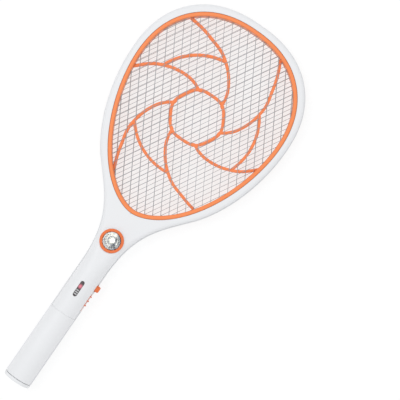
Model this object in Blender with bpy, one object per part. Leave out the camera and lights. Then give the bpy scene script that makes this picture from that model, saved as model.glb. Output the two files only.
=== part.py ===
"""Electric fly swatter: a racket head with three nets, a lamp neck and a pull-off battery grip.

Axes: +Y from the grip towards the head, +X towards the push button, +Z out of the front face.
The object lies on its back: z = 0 is the back of the handle, y = 0 the middle of its length.
All driving dimensions are in millimetres.
"""
import math

import bmesh
import bpy
from mathutils import Matrix, Vector

MM = 0.001

# ---- overall ----
Y_TOP = 250.0            # far edge of the head
Y_BOTTOM = -250.0        # end of the grip
Z_MID = 17.0             # parting plane of the casing
WALL = 2.0               # casing wall
SPLIT_GAP = 0.15         # half the gap at the parting plane
FIT = 0.3                # clearance between touching pieces

# ---- head outline: two half superellipses ----
HEAD_Y = 145.0
HEAD_HALF_WIDTH = 108.0
HEAD_UP = 105.0
HEAD_DOWN = 165.0
HEAD_POWER_UP = 2.3
HEAD_POWER_DOWN = 1.9
HEAD_HALF_THICK = 10.0
HEAD_EDGE_RADIUS = 7.0
HEAD_JOIN_Y = 21.0       # where the head outline hands over to the neck

# ---- neck and handle ----
HANDLE_RADIUS = 17.0
NECK_START_Y = -92.0
THICK_START_Y = -108.0
THICK_END_Y = -22.0
SEAM_Y = -153.5          # upper unit ends here, grip starts

# ---- coloured guard ring round the opening ----
RING_Y = 143.0
RING_HALF_WIDTH = 99.7
RING_UP = 98.0
RING_DOWN = 157.5
RING_POWER_UP = 2.25
RING_POWER_DOWN = 1.77
RING_WIDTH = 5.1
RING_STEPS = 48
GUARD_FACE_Z = 27.5
GUARD_BASE_Z = 22.6
GUARD_FLANGE = 1.6
GUARD_FLANGE_TOP_Z = 24.4
RIB_WIDTH = 3.5
RIB_INSET = 0.4
HUB_Y = 119.6
HUB_RADIUS = 32.3
HUB_FLAT = 30.7
ARM_RADIUS = 72.4
ARM_COUNT = 6
ARM_START_DEG = 37.0

# ---- nets ----
NET_THICK = 0.9
NET_RIM_IN = 4.6
FRONT_NET_Z = 21.4
CENTRE_NET_Z = 16.55
WIRE = 0.7
WIRE_TILT_DEG = 30.0
WIRE_PITCH = 37.6
CENTRE_PITCH = 18.8
SPACER_Z = 17.8
SPACER_THICK = 3.3

# ---- lamp ----
LAMP_Y = -53.5
BEZEL_RADIUS = 14.2
LENS_RADIUS = 10.5
LAND_Z = 30.0

# ---- indicator window, button, slide switch ----
WINDOW_Y = -120.7
WINDOW_LENGTH = 20.5
WINDOW_WIDTH = 5.4
BUTTON_Y = -110.0
BUTTON_LENGTH = 9.3
BUTTON_WIDTH = 7.0
BUTTON_TRAVEL = 1.5
KNOB_Y = -127.5
KNOB_TRAVEL = 5.0
PLATE_Y = -130.0
PLATE_LENGTH = 22.8
PLATE_WIDTH = 8.0

# ---- boards ----
BOARD_Z = 13.0
BOARD_THICK = 1.6
BOARD_TOP = BOARD_Z + BOARD_THICK + FIT
HV_BOARD_Z = 9.0
HV_TOP = 10.2 + FIT

# ---- grip ----
SPIGOT_RADIUS = 14.6
SPIGOT_TOP_Y = -143.5
SLEEVE_END_Y = -246.4
CELL_RADIUS = 9.15
CELL_TOP_Y = -171.0
CELL_LENGTH = 65.0

FINISHES = {
    "white_abs": ((0.83, 0.83, 0.82), 0.34, 0.0),
    "orange_abs": ((1.0, 0.27, 0.06), 0.32, 0.0),
    "steel_net": ((0.55, 0.56, 0.57), 0.30, 1.0),
    "clear_lens": ((0.92, 0.94, 0.95), 0.08, 0.0),
    "chrome_mirror": ((0.85, 0.85, 0.86), 0.08, 1.0),
    "smoked_window": ((0.03, 0.03, 0.035), 0.10, 0.0),
    "black_plastic": ((0.02, 0.02, 0.022), 0.45, 0.0),
    "board_green": ((0.02, 0.16, 0.06), 0.50, 0.0),
    "copper": ((0.72, 0.33, 0.15), 0.30, 1.0),
    "ferrite": ((0.04, 0.04, 0.045), 0.70, 0.0),
    "part_blue": ((0.03, 0.18, 0.45), 0.35, 0.0),
    "part_tan": ((0.70, 0.52, 0.30), 0.45, 0.0),
    "led_red": ((0.85, 0.03, 0.04), 0.25, 0.0),
    "led_yellow": ((0.95, 0.75, 0.20), 0.30, 0.0),
    "cell_wrap": ((0.05, 0.30, 0.55), 0.35, 0.0),
    "wire_red": ((0.60, 0.02, 0.02), 0.50, 0.0),
    "wire_black": ((0.02, 0.02, 0.02), 0.50, 0.0),
    "bright_steel": ((0.62, 0.62, 0.63), 0.25, 1.0),
    "gold_contact": ((0.85, 0.62, 0.22), 0.25, 1.0),
}


# ------------------------------------------------------------------ scene and object helpers

def clear_scene():
    """Remove every starting object."""
    for thing in list(bpy.data.objects):
        bpy.data.objects.remove(thing, do_unlink=True)
    for mesh in list(bpy.data.meshes):
        bpy.data.meshes.remove(mesh)


def collection(name):
    """Make a collection under the scene."""
    group = bpy.data.collections.new(name)
    bpy.context.scene.collection.children.link(group)
    return group


def material(slot):
    """Return the Principled material of a finish."""
    mat = bpy.data.materials.get(slot)
    if mat:
        return mat
    colour, rough, metal = FINISHES[slot]
    mat = bpy.data.materials.new(slot)
    mat.use_nodes = True
    shader = mat.node_tree.nodes["Principled BSDF"]
    shader.inputs["Base Color"].default_value = (*colour, 1.0)
    shader.inputs["Roughness"].default_value = rough
    shader.inputs["Metallic"].default_value = metal
    mat.diffuse_color = (*colour, 1.0)
    return mat


def from_bmesh(bm, name="cut"):
    """Turn a bmesh in millimetres into an object in metres."""
    bmesh.ops.remove_doubles(bm, verts=bm.verts, dist=1e-4)
    bmesh.ops.recalc_face_normals(bm, faces=bm.faces)
    bmesh.ops.scale(bm, vec=(MM, MM, MM), verts=bm.verts)
    mesh = bpy.data.meshes.new(name)
    bm.to_mesh(mesh)
    bm.free()
    thing = bpy.data.objects.new(name, mesh)
    bpy.context.scene.collection.objects.link(thing)
    return thing


def box(x0, x1, y0, y1, z0, z1):
    """Box between two corners."""
    bm = bmesh.new()
    bmesh.ops.create_cube(bm, size=1.0)
    bmesh.ops.scale(bm, vec=(x1 - x0, y1 - y0, z1 - z0), verts=bm.verts)
    bmesh.ops.translate(bm, vec=((x0 + x1) / 2, (y0 + y1) / 2, (z0 + z1) / 2), verts=bm.verts)
    return from_bmesh(bm)


def cone(x, y, z0, z1, r0, r1, axis="Z", sides=24):
    """Cone or cylinder; x and y are the two cross coordinates, z0 to z1 runs along the axis."""
    bm = bmesh.new()
    bmesh.ops.create_cone(bm, cap_ends=True, segments=sides, radius1=r0, radius2=r1, depth=z1 - z0)
    bmesh.ops.translate(bm, vec=(0, 0, (z0 + z1) / 2), verts=bm.verts)
    if axis == "X":
        bmesh.ops.rotate(bm, cent=(0, 0, 0), matrix=Matrix.Rotation(math.pi / 2, 3, "Y"), verts=bm.verts)
        bmesh.ops.translate(bm, vec=(0, x, y), verts=bm.verts)
    elif axis == "Y":
        bmesh.ops.rotate(bm, cent=(0, 0, 0), matrix=Matrix.Rotation(-math.pi / 2, 3, "X"), verts=bm.verts)
        bmesh.ops.translate(bm, vec=(x, 0, y), verts=bm.verts)
    else:
        bmesh.ops.translate(bm, vec=(x, y, 0), verts=bm.verts)
    return from_bmesh(bm)


def rod(x, y, z0, z1, r, axis="Z", sides=24):
    """Cylinder along an axis."""
    return cone(x, y, z0, z1, r, r, axis, sides)


def prism(points, z0, z1):
    """Extrude a flat outline along Z."""
    bm = bmesh.new()
    low = [bm.verts.new((x, y, z0)) for x, y in points]
    face = bm.faces.new(low)
    made = bmesh.ops.extrude_face_region(bm, geom=[face])
    moved = [v for v in made["geom"] if isinstance(v, bmesh.types.BMVert)]
    bmesh.ops.translate(bm, vec=(0, 0, z1 - z0), verts=moved)
    return from_bmesh(bm)


def loft(sections, closed=False):
    """Skin a row of equal-length point loops; ends are capped unless the row closes on itself."""
    bm = bmesh.new()
    loops = [[bm.verts.new(p) for p in section] for section in sections]
    pairs = list(zip(loops, loops[1:]))
    if closed:
        pairs.append((loops[-1], loops[0]))
    count = len(loops[0])
    for a, b in pairs:
        for i in range(count):
            j = (i + 1) % count
            bm.faces.new((a[i], a[j], b[j], b[i]))
    if not closed:
        bm.faces.new(loops[0])
        bm.faces.new(loops[-1])
    return from_bmesh(bm)


def pill(length, width, steps=6):
    """Rounded slot outline along its first axis, centred on zero."""
    r = width / 2
    half = length / 2 - r
    out = []
    for side in (1, -1):
        for i in range(steps + 1):
            a = math.radians(-90 + 180 * i / steps)
            out.append((side * (half + r * math.cos(a)), side * r * math.sin(a)))
    return out


def join(*things):
    """Merge separate meshes into one object without a Boolean."""
    bpy.ops.object.select_all(action="DESELECT")
    for thing in things:
        thing.select_set(True)
    bpy.context.view_layer.objects.active = things[0]
    bpy.ops.object.join()
    return things[0]


def boolean(base, operation, *others):
    """Apply exact Booleans one after the other and remove the cutters."""
    for other in others:
        mod = base.modifiers.new("bool", "BOOLEAN")
        mod.operation = operation
        mod.solver = "EXACT"
        mod.object = other
        bpy.context.view_layer.objects.active = base
        bpy.ops.object.modifier_apply(modifier=mod.name)
        bpy.data.objects.remove(other, do_unlink=True)
    return base


def cut(base, *others):
    """Subtract."""
    return boolean(base, "DIFFERENCE", *others)


def add(base, *others):
    """Unite."""
    return boolean(base, "UNION", *others)


def tidy(thing, angle_deg=0.6):
    """Weld slivers and dissolve flat faces left by Booleans."""
    bm = bmesh.new()
    bm.from_mesh(thing.data)
    bmesh.ops.remove_doubles(bm, verts=bm.verts, dist=0.00003)
    bmesh.ops.dissolve_degenerate(bm, edges=bm.edges, dist=0.00002)
    bmesh.ops.dissolve_limit(bm, verts=bm.verts, edges=bm.edges, angle_limit=math.radians(angle_deg))
    bmesh.ops.triangulate(bm, faces=bm.faces)
    bmesh.ops.recalc_face_normals(bm, faces=bm.faces)
    bm.to_mesh(thing.data)
    bm.free()
    return thing


def node(thing, name, slot, smooth=True):
    """Name a finished piece, give it its material and put it in the object's collection."""
    thing.name = name
    thing.data.name = name
    thing.data.materials.clear()
    thing.data.materials.append(material(slot))
    for face in thing.data.polygons:
        face.use_smooth = False
    for group in list(thing.users_collection):
        group.objects.unlink(thing)
    PIECES.objects.link(thing)
    return thing


def tube(points, radius, resolution=2):
    """Wire along a row of points, converted to a closed mesh."""
    curve = bpy.data.curves.new("wire", "CURVE")
    curve.dimensions = "3D"
    curve.bevel_depth = radius * MM
    curve.bevel_resolution = resolution
    curve.use_fill_caps = True
    spline = curve.splines.new("POLY")
    spline.points.add(len(points) - 1)
    for point, place in zip(spline.points, points):
        point.co = (place[0] * MM, place[1] * MM, place[2] * MM, 1.0)
    thing = bpy.data.objects.new("wire", curve)
    bpy.context.scene.collection.objects.link(thing)
    bpy.context.view_layer.update()
    mesh = bpy.data.meshes.new_from_object(thing.evaluated_get(bpy.context.evaluated_depsgraph_get()))
    bpy.data.objects.remove(thing, do_unlink=True)
    bm = bmesh.new()
    bm.from_mesh(mesh)
    bmesh.ops.remove_doubles(bm, verts=bm.verts, dist=1e-6)
    bmesh.ops.recalc_face_normals(bm, faces=bm.faces)
    bm.to_mesh(mesh)
    bm.free()
    out = bpy.data.objects.new("wire", mesh)
    bpy.context.scene.collection.objects.link(out)
    return out


def spin(profile, axis_point, steps=32, axis="Y"):
    """Turn a profile of (radius, height) points about an axis into a closed solid."""
    bm = bmesh.new()
    loops = []
    for i in range(steps):
        a = 2 * math.pi * i / steps
        loop = []
        for r, h in profile:
            if axis == "Y":
                loop.append((axis_point[0] + r * math.cos(a), h, axis_point[1] + r * math.sin(a)))
            else:
                loop.append((axis_point[0] + r * math.cos(a), axis_point[1] + r * math.sin(a), h))
        loops.append([bm.verts.new(p) for p in loop])
    count = len(profile)
    for k in range(steps):
        a = loops[k]
        b = loops[(k + 1) % steps]
        for i in range(count):
            j = (i + 1) % count
            if max(profile[i][0], profile[j][0]) > 1e-6:
                ring = [a[i], a[j], b[j], b[i]]
                bm.faces.new(ring)
    bmesh.ops.remove_doubles(bm, verts=bm.verts, dist=1e-4)
    bmesh.ops.dissolve_degenerate(bm, edges=bm.edges, dist=1e-5)
    return from_bmesh(bm)


# ------------------------------------------------------------------ outlines

def super_width(t, power):
    """Half width of a superellipse at relative height t."""
    return max(0.0, 1.0 - abs(t) ** power) ** (1.0 / power)


def smooth(t):
    """Smooth step between 0 and 1."""
    t = min(1.0, max(0.0, t))
    return t * t * (3 - 2 * t)


def ring_outline(offset, steps=RING_STEPS):
    """Outline of the guard ring moved outwards by an offset."""
    raw = []
    for i in range(steps):
        a = 2 * math.pi * i / steps
        up = math.sin(a) >= 0
        power = RING_POWER_UP if up else RING_POWER_DOWN
        reach = RING_UP if up else RING_DOWN
        x = RING_HALF_WIDTH * math.copysign(abs(math.cos(a)) ** (2 / power), math.cos(a))
        y = RING_Y + reach * math.copysign(abs(math.sin(a)) ** (2 / power), math.sin(a))
        raw.append(Vector((x, y)))
    out = []
    for i, point in enumerate(raw):
        along = raw[(i + 1) % steps] - raw[i - 1]
        normal = Vector((along.y, -along.x)).normalized()
        out.append(tuple(point + normal * offset))
    return out


def neck_point(t):
    """Half width and height position on the neck outline, a cubic Bezier from handle to head."""
    x = (HANDLE_RADIUS, HANDLE_RADIUS, 37.75, 67.5)
    y = (NECK_START_Y, -32.0, -14.4, HEAD_JOIN_Y)
    w = ((1 - t) ** 3, 3 * t * (1 - t) ** 2, 3 * t * t * (1 - t), t ** 3)
    return sum(a * b for a, b in zip(w, x)), sum(a * b for a, b in zip(w, y))


def casing_outline():
    """Right-hand outline of the upper unit from the seam to the top of the head."""
    points = [(HANDLE_RADIUS, SEAM_Y), (HANDLE_RADIUS, THICK_START_Y)]
    points += [neck_point(t) for t in (0.0, 0.2, 0.4, 0.6, 0.8, 1.0)]
    for t in (0.6, 0.4, 0.2, 0.0):
        points.append((HEAD_HALF_WIDTH * super_width(t, HEAD_POWER_DOWN), HEAD_Y - HEAD_DOWN * t))
    for t in (0.26, 0.48, 0.66, 0.8, 0.89, 0.95, 0.985):
        points.append((HEAD_HALF_WIDTH * super_width(t, HEAD_POWER_UP), HEAD_Y + HEAD_UP * t))
    points.append((8.0, Y_TOP))
    return points


def half_thickness(y):
    """Half thickness of the casing along its length."""
    body = HANDLE_RADIUS + (HEAD_HALF_THICK - HANDLE_RADIUS) * smooth(
        (y - THICK_START_Y) / (THICK_END_Y - THICK_START_Y))
    crown = y - (Y_TOP - HEAD_EDGE_RADIUS)
    if crown > 0:
        body -= HEAD_EDGE_RADIUS - math.sqrt(max(0.0, HEAD_EDGE_RADIUS ** 2 - crown ** 2))
    return body


def edge_radius(y):
    """Corner radius of the casing section along its length."""
    full = HANDLE_RADIUS - 0.4
    edge = full + (HEAD_EDGE_RADIUS - full) * smooth((y - THICK_START_Y) / (THICK_END_Y - THICK_START_Y))
    return min(edge, half_thickness(y) - 0.4)


def casing_half(inset, front, arc_steps=4):
    """Front or rear half of the casing as a solid, moved inwards by an inset."""
    outline = casing_outline()
    sections = []
    for i, (w, y) in enumerate(outline):
        before = Vector(outline[max(0, i - 1)])
        after = Vector(outline[min(len(outline) - 1, i + 1)])
        along = after - before
        normal = Vector((along.y, -along.x)).normalized()
        half = w - normal.x * inset
        place = y - normal.y * inset
        if i == 0:
            place = y + SPLIT_GAP if inset == 0 else y - 5.0
        thick = half_thickness(y) - inset
        r = max(0.6, min(edge_radius(y) - inset, thick - 0.2, half - 0.2))
        base = Z_MID + SPLIT_GAP if inset == 0 else Z_MID - 2.0
        quarter = [(half, place, base)]
        for k in range(arc_steps + 1):
            a = math.pi / 2 * k / arc_steps
            quarter.append((half - r + r * math.cos(a), place, Z_MID + thick - r + r * math.sin(a)))
        loop = quarter + [(-x, yy, z) for x, yy, z in reversed(quarter)]
        if not front:
            loop = [(x, yy, 2 * Z_MID - z) for x, yy, z in loop]
        sections.append(loop)
    return loft(sections)


def flip(z):
    """Mirror a height in the parting plane."""
    return 2 * Z_MID - z


def span(z0, z1, front):
    """Height range for the front, or mirrored for the rear."""
    return (z0, z1) if front else (flip(z1), flip(z0))


def rim_screw_places():
    """Centres of the four rim screws, outside the net rims."""
    line = ring_outline(4.5)
    return [line[i] for i in (6, 18, 28, 44)]


def screw_places():
    """Centres of all casing screws."""
    return rim_screw_places() + [(22.0, -27.0), (-22.0, -27.0), (0.0, -71.5)]


# ------------------------------------------------------------------ casing

def make_shell(front):
    """Front or rear casing half."""
    shell = casing_half(0.0, front)
    cut(shell, casing_half(WALL, front))
    low, high = span(20.0, 40.0, front)
    cut(shell, prism(ring_outline(FIT), low, high))
    places = screw_places()
    low, high = span(Z_MID + SPLIT_GAP, 40.0, front)
    bosses = join(*[rod(x, y, low, high, 2.2 if i < 4 else 2.8, sides=12) for i, (x, y) in enumerate(places)])
    add(shell, boolean(bosses, "INTERSECT", casing_half(0.6, front)))
    for i, (x, y) in enumerate(places):
        if front:
            cut(shell, rod(x, y, Z_MID - 1.0, Z_MID + 4.4, 1.1, sides=8))
        else:
            floor = screw_floor(i, y)
            cut(shell, rod(x, y, floor - 0.5, Z_MID + 1.0, 1.2, sides=8))
            cut(shell, rod(x, y, -2.0, floor, 2.1, sides=12))
    cut(shell, prism([(x, y) for x, y in slot_x(BUTTON_Y, BUTTON_LENGTH + 0.7)], *button_span(front)))
    low, high = span(Z_MID - 1.0, Z_MID + PLATE_WIDTH / 2 + FIT, front)
    cut(shell, box(13.0, 20.0, PLATE_Y - PLATE_LENGTH / 2 - FIT, PLATE_Y + PLATE_LENGTH / 2 + FIT, low, high))
    if front:
        add(shell, rod(0, LAMP_Y, 26.6, LAND_Z, BEZEL_RADIUS + 0.3, sides=28))
        cut(shell, rod(0, LAMP_Y, LAND_Z, 45.0, BEZEL_RADIUS + 0.6, sides=28))
        cut(shell, rod(0, LAMP_Y, 20.0, 45.0, LENS_RADIUS + 0.4, sides=28))
        outline = [(x, WINDOW_Y + y) for y, x in pill(WINDOW_LENGTH + 0.6, WINDOW_WIDTH + 0.6)]
        cut(shell, prism(outline, 28.0, 40.0))
    else:
        for y in (-122.0, -92.0):
            add(shell, box(-6.0, 6.0, y - 1.5, y + 1.5, 1.2, BOARD_Z - FIT))
        add(shell, box(-13.0, 13.0, -34.0, -31.0, 7.6, HV_BOARD_Z - FIT))
    tidy(shell)
    name = "front_shell" if front else "rear_shell"
    return node(shell, name, "white_abs")


def screw_floor(index, y):
    """Height of the counterbore floor under a screw head."""
    if index < 4:
        return 10.6
    return Z_MID - half_thickness(y) + 3.2


def slot_x(y, length):
    """Cut outline of the push button hole, from the inside of the wall outwards."""
    return [(12.5, y - length / 2), (22.0, y - length / 2), (22.0, y + length / 2), (12.5, y + length / 2)]


def button_span(front):
    """Height range of the half hole for the push button."""
    return span(Z_MID - 1.0, Z_MID + BUTTON_WIDTH / 2 + 0.35, front)


# ------------------------------------------------------------------ guards

def strip(points, width, z0, z1):
    """Flat bar of constant width along a row of points."""
    left = []
    right = []
    for i, point in enumerate(points):
        before = Vector(points[max(0, i - 1)])
        after = Vector(points[min(len(points) - 1, i + 1)])
        along = (after - before).normalized()
        normal = Vector((-along.y, along.x)) * width / 2
        left.append(tuple(Vector(point) + normal))
        right.append(tuple(Vector(point) - normal))
    return prism(left + list(reversed(right)), z0, z1)


def polar(radius, degrees):
    """Point about the hub."""
    a = math.radians(degrees)
    return (radius * math.cos(a), HUB_Y + radius * math.sin(a))


def arm_path(turn):
    """Centre line of one curved arm from the hub to the ring."""
    course = ((31.6, -43.0), (32.3, -36.5), (40.0, -29.0), (49.4, -20.0), (61.5, -9.0), (ARM_RADIUS, 0.0),
              (81.8, 7.4), (92.3, 16.5), (104.0, 24.0), (117.7, 32.0), (132.0, 39.0), (150.0, 46.0))
    path = []
    limit = ring_outline(-RING_WIDTH / 2)
    for radius, swing in course:
        point = polar(radius, ARM_START_DEG + turn + swing)
        if not inside(point, limit):
            path.append(crossing(path[-1], point, limit))
            break
        path.append(point)
    return path


def inside(point, outline):
    """Whether a point lies inside an outline."""
    x, y = point
    hit = False
    for i, (ax, ay) in enumerate(outline):
        bx, by = outline[i - 1]
        if (ay > y) != (by > y) and x < (bx - ax) * (y - ay) / (by - ay) + ax:
            hit = not hit
    return hit


def crossing(start, end, outline):
    """Point where a line leaves an outline, found by halving."""
    a = Vector(start)
    b = Vector(end)
    for _ in range(20):
        mid = (a + b) / 2
        if inside(mid, outline):
            a = mid
        else:
            b = mid
    return tuple(a)


def make_guard(front):
    """Orange ring that holds the outer net in the casing."""
    inner = ring_outline(-RING_WIDTH)
    guard = prism(ring_outline(0.0), *span(GUARD_BASE_Z, GUARD_FACE_Z, front))
    add(guard, prism(ring_outline(GUARD_FLANGE), *span(GUARD_BASE_Z, GUARD_FLANGE_TOP_Z, front)))
    cut(guard, prism(inner, *span(GUARD_BASE_Z - 2, GUARD_FACE_Z + 2, front)))
    tidy(guard)
    return node(guard, "front_guard" if front else "rear_guard", "orange_abs")


# ------------------------------------------------------------------ nets

def chord(place, angle_deg, limit):
    """Two ends of a straight wire at a signed distance from the net centre."""
    a = math.radians(angle_deg)
    along = Vector((math.sin(a), math.cos(a)))
    across = Vector((along.y, -along.x))
    middle = Vector((0.0, HUB_Y)) + across * place
    ends = []
    for side in (1, -1):
        far = middle + along * side * 300
        inner = middle
        if not inside(tuple(inner), limit):
            return None
        ends.append(Vector(crossing(tuple(inner), tuple(far), limit)))
    return ends


def wires(angle_deg, pitch, z0, z1):
    """Row of parallel wires across the opening as one mesh."""
    limit = ring_outline(-2.0)
    bars = []
    count = int(130 / pitch)
    for i in range(-count - 1, count + 1):
        ends = chord((i + 0.5) * pitch, angle_deg, limit)
        if ends and (ends[0] - ends[1]).length > 2 * pitch:
            bars.append(strip([tuple(e) for e in ends], WIRE, z0, z1))
    return join(*bars)


def make_net(name, base, angles, pitch, tab):
    """Net: stamped rim with wires across it and a soldering tab."""
    rim = prism(ring_outline(GUARD_FLANGE), base, base + NET_THICK)
    cut(rim, prism(ring_outline(-NET_RIM_IN), base - 2, base + 2))
    for i, angle in enumerate(angles):
        shift = 0.08 * (i + 1)
        add(rim, wires(angle, pitch, base + shift, base + NET_THICK - shift))
    add(rim, box(tab - 2.0, tab + 2.0, -21.0, -14.0, base + 0.1, base + NET_THICK - 0.1))
    tidy(rim)
    return node(rim, name, "steel_net")


def make_spacer(name, base):
    """Insulating ring between two nets, with a pinwheel of curved ribs that keeps them apart."""
    rim = prism(ring_outline(GUARD_FLANGE), base, base + SPACER_THICK)
    cut(rim, prism(ring_outline(-NET_RIM_IN), base - 2, base + SPACER_THICK + 2))
    low, high = base + RIB_INSET, base + SPACER_THICK - RIB_INSET
    hub = []
    for k in range(ARM_COUNT):
        hub.append(polar(HUB_RADIUS, 60 * k - 3.5))
        hub.append(polar(HUB_RADIUS, 60 * k + 4.5))
        hub.append(polar(HUB_FLAT, 60 * k + 30.6))
    outer = [tuple(Vector(p) + (Vector(p) - Vector((0, HUB_Y))).normalized() * RIB_WIDTH / 2) for p in hub]
    within = [tuple(Vector(p) - (Vector(p) - Vector((0, HUB_Y))).normalized() * RIB_WIDTH / 2) for p in hub]
    centre = prism(outer, low, high)
    cut(centre, prism(within, low - 2, high + 2))
    add(rim, *[strip(arm_path(60 * k), RIB_WIDTH, low, high) for k in range(ARM_COUNT)])
    add(rim, centre)
    for start, end in ((98.0, 157.0), (-21.5, 36.0), (-143.0, -83.0)):
        steps = 6
        arc = [polar(ARM_RADIUS, start + (end - start) * i / steps) for i in range(steps + 1)]
        add(rim, strip(arc, RIB_WIDTH, low, high))
    tidy(rim)
    return node(rim, name, "orange_abs")


# ------------------------------------------------------------------ lamp

def make_lamp():
    """Bezel, lens, reflector, emitter and its board."""
    centre = (0.0, LAMP_Y)
    bezel = spin([(LENS_RADIUS + 0.3, LAND_Z + FIT), (BEZEL_RADIUS, LAND_Z + FIT), (BEZEL_RADIUS, 31.0),
                  (BEZEL_RADIUS - 0.7, 31.7), (LENS_RADIUS + 1.0, 31.7), (LENS_RADIUS + 0.3, 31.0)],
                 centre, 28, "Z")
    node(bezel, "lamp_bezel", "orange_abs")
    lens = spin([(0, LAND_Z + 0.1), (LENS_RADIUS, LAND_Z + 0.1), (LENS_RADIUS, 31.0), (LENS_RADIUS - 0.4, 31.3),
                 (0, 31.3)], centre, 28, "Z")
    node(lens, "lamp_lens", "clear_lens")
    reflector = spin([(3.2, 20.8), (4.0, 20.8), (10.2, 28.6), (10.2, 29.6), (9.4, 29.6), (9.4, 28.9)],
                     centre, 20, "Z")
    node(reflector, "lamp_reflector", "chrome_mirror")
    node(rod(0, LAMP_Y, 17.4, 18.5, 8.0, sides=24), "lamp_board", "board_green")
    led = rod(0, LAMP_Y, 18.8, 19.8, 2.6, sides=16)
    add(led, cone(0, LAMP_Y, 19.6, 21.2, 2.0, 1.0, sides=16))
    node(led, "lamp_led", "led_yellow")


# ------------------------------------------------------------------ controls

def make_window():
    """Smoked indicator window and the two leads-in lamps under it."""
    outline = [(x, WINDOW_Y + y) for y, x in pill(WINDOW_LENGTH, WINDOW_WIDTH)]
    node(prism(outline, 31.6, 33.85), "indicator_window", "smoked_window")
    for name, y, slot in (("indicator_led_1", WINDOW_Y + 4.0, "led_red"),
                          ("indicator_led_2", WINDOW_Y - 4.5, "led_yellow")):
        led = rod(0, y, 25.6, 26.6, 1.9, sides=12)
        add(led, cone(0, y, 26.4, 31.2, 1.5, 1.0, sides=12))
        add(led, box(-1.6, -1.0, y - 0.3, y + 0.3, BOARD_TOP, 25.9))
        add(led, box(1.0, 1.6, y - 0.3, y + 0.3, BOARD_TOP, 25.9))
        node(tidy(led), name, slot)


def pill_x(y, length, width, x0, x1):
    """Pill-shaped bar running along X."""
    bar = prism([(a, b) for a, b in pill(length, width)], x0, x1)
    bar.data.transform(Matrix(((0, 0, 1, 0), (1, 0, 0, y * MM), (0, 1, 0, Z_MID * MM), (0, 0, 0, 1))))
    return bar


def make_button():
    """Push button with its retaining flange and stem, and the switch it works."""
    button = pill_x(BUTTON_Y, BUTTON_LENGTH, BUTTON_WIDTH, 11.0, 20.4)
    add(button, pill_x(BUTTON_Y, BUTTON_LENGTH - 1.6, BUTTON_WIDTH - 1.6, 20.0, 21.0))
    add(button, pill_x(BUTTON_Y, BUTTON_LENGTH + 3.0, BUTTON_WIDTH + 2.6, 12.2, 13.2))
    add(button, rod(BUTTON_Y, Z_MID, 5.6, 11.5, 1.2, "X", 12))
    node(tidy(button), "zap_button", "orange_abs")
    switch = box(2.4, 8.5, BUTTON_Y - 3.1, BUTTON_Y + 3.1, BOARD_TOP, 20.4)
    cut(switch, rod(BUTTON_Y, Z_MID, 3.6, 12.0, 1.5, "X", 12))
    node(tidy(switch), "zap_switch", "black_plastic")


def make_slide():
    """Three-position slide: surround, knob and switch."""
    half = PLATE_LENGTH / 2
    plate = box(14.9, 16.8, PLATE_Y - half, PLATE_Y + half, Z_MID - 4.0, Z_MID + 4.0)
    cut(plate, box(14.0, 19.0, KNOB_Y - 2.0 - KNOB_TRAVEL - 0.6, KNOB_Y + 2.6, Z_MID - 2.0, Z_MID + 2.0))
    node(tidy(plate), "switch_plate", "orange_abs")
    knob = box(17.1, 17.8, KNOB_Y - 6.9, KNOB_Y + 6.9, Z_MID - 2.6, Z_MID + 2.6)
    add(knob, box(12.8, 17.4, KNOB_Y - 2.0, KNOB_Y + 2.0, Z_MID - 1.6, Z_MID + 1.6))
    for shift in (-5.95, 0.0, 5.95):
        add(knob, box(17.6, 18.4, KNOB_Y + shift - 0.6, KNOB_Y + shift + 0.6, Z_MID - 2.4, Z_MID + 2.4))
    node(tidy(knob), "mode_knob", "orange_abs")
    switch = box(6.5, 12.4, KNOB_Y - 5.0, KNOB_Y + 5.0, BOARD_TOP, 20.6)
    node(switch, "mode_switch", "bright_steel")


# ------------------------------------------------------------------ electronics

def make_boards():
    """Main board, high-voltage board and what is soldered to them."""
    board = box(-12.5, 12.5, -137.0, -76.0, BOARD_Z, BOARD_Z + BOARD_THICK)
    cut(board, box(9.2, 15.0, BUTTON_Y - 7.2, BUTTON_Y + 7.2, BOARD_Z - 1.0, BOARD_TOP))
    node(tidy(board), "main_board", "board_green")
    node(box(-17.0, 17.0, -45.0, -25.0, HV_BOARD_Z, HV_BOARD_Z + 1.2), "hv_board", "board_green")
    core = box(-9.0, 9.0, -92.0, -80.0, BOARD_TOP, 27.4)
    cut(core, box(4.0, 7.6, -95.0, -77.0, 17.4, 25.0))
    cut(core, box(-7.6, -4.0, -95.0, -77.0, 17.4, 25.0))
    node(tidy(core), "transformer_core", "ferrite")
    coil = box(-7.3, 7.3, -95.3, -76.7, 17.7, 24.7)
    cut(coil, box(-4.3, 4.3, -92.3, -79.7, 16.0, 26.0))
    node(tidy(coil), "transformer_coil", "copper")
    transistor = box(-9.5, -2.0, -105.0, -102.0, 17.6, 25.5)
    for x in (-8.0, -5.75, -3.5):
        add(transistor, box(x - 0.35, x + 0.35, -103.8, -103.1, BOARD_TOP, 18.0))
    node(tidy(transistor), "transistor", "black_plastic")
    node(box(-15.0, -1.0, -42.0, -33.0, HV_TOP, 19.5), "hv_capacitor", "part_tan")
    for i, y in enumerate((-42.0, -38.0)):
        node(axial(8.5, y, HV_TOP, 1.4, 5.2), f"hv_diode_{i + 1}", "black_plastic")
    node(axial(8.5, -30.5, HV_TOP, 1.5, 6.4), "bleed_resistor", "part_blue")


def axial(x, y, top, radius, length):
    """Axial part lying along X with its two bent legs."""
    z = top + radius + 0.6
    body = rod(y, z, x - length / 2, x + length / 2, radius, "X", 12)
    for side in (-1, 1):
        a, b = sorted((x + side * (length / 2 - 0.4), x + side * (length / 2 + 2.0)))
        add(body, box(a, b, y - 0.3, y + 0.3, z - 0.3, z + 0.3))
        a, b = sorted((x + side * (length / 2 + 1.4), x + side * (length / 2 + 2.0)))
        add(body, box(a, b, y - 0.29, y + 0.29, top, z + 0.1))
    return tidy(body)


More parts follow.
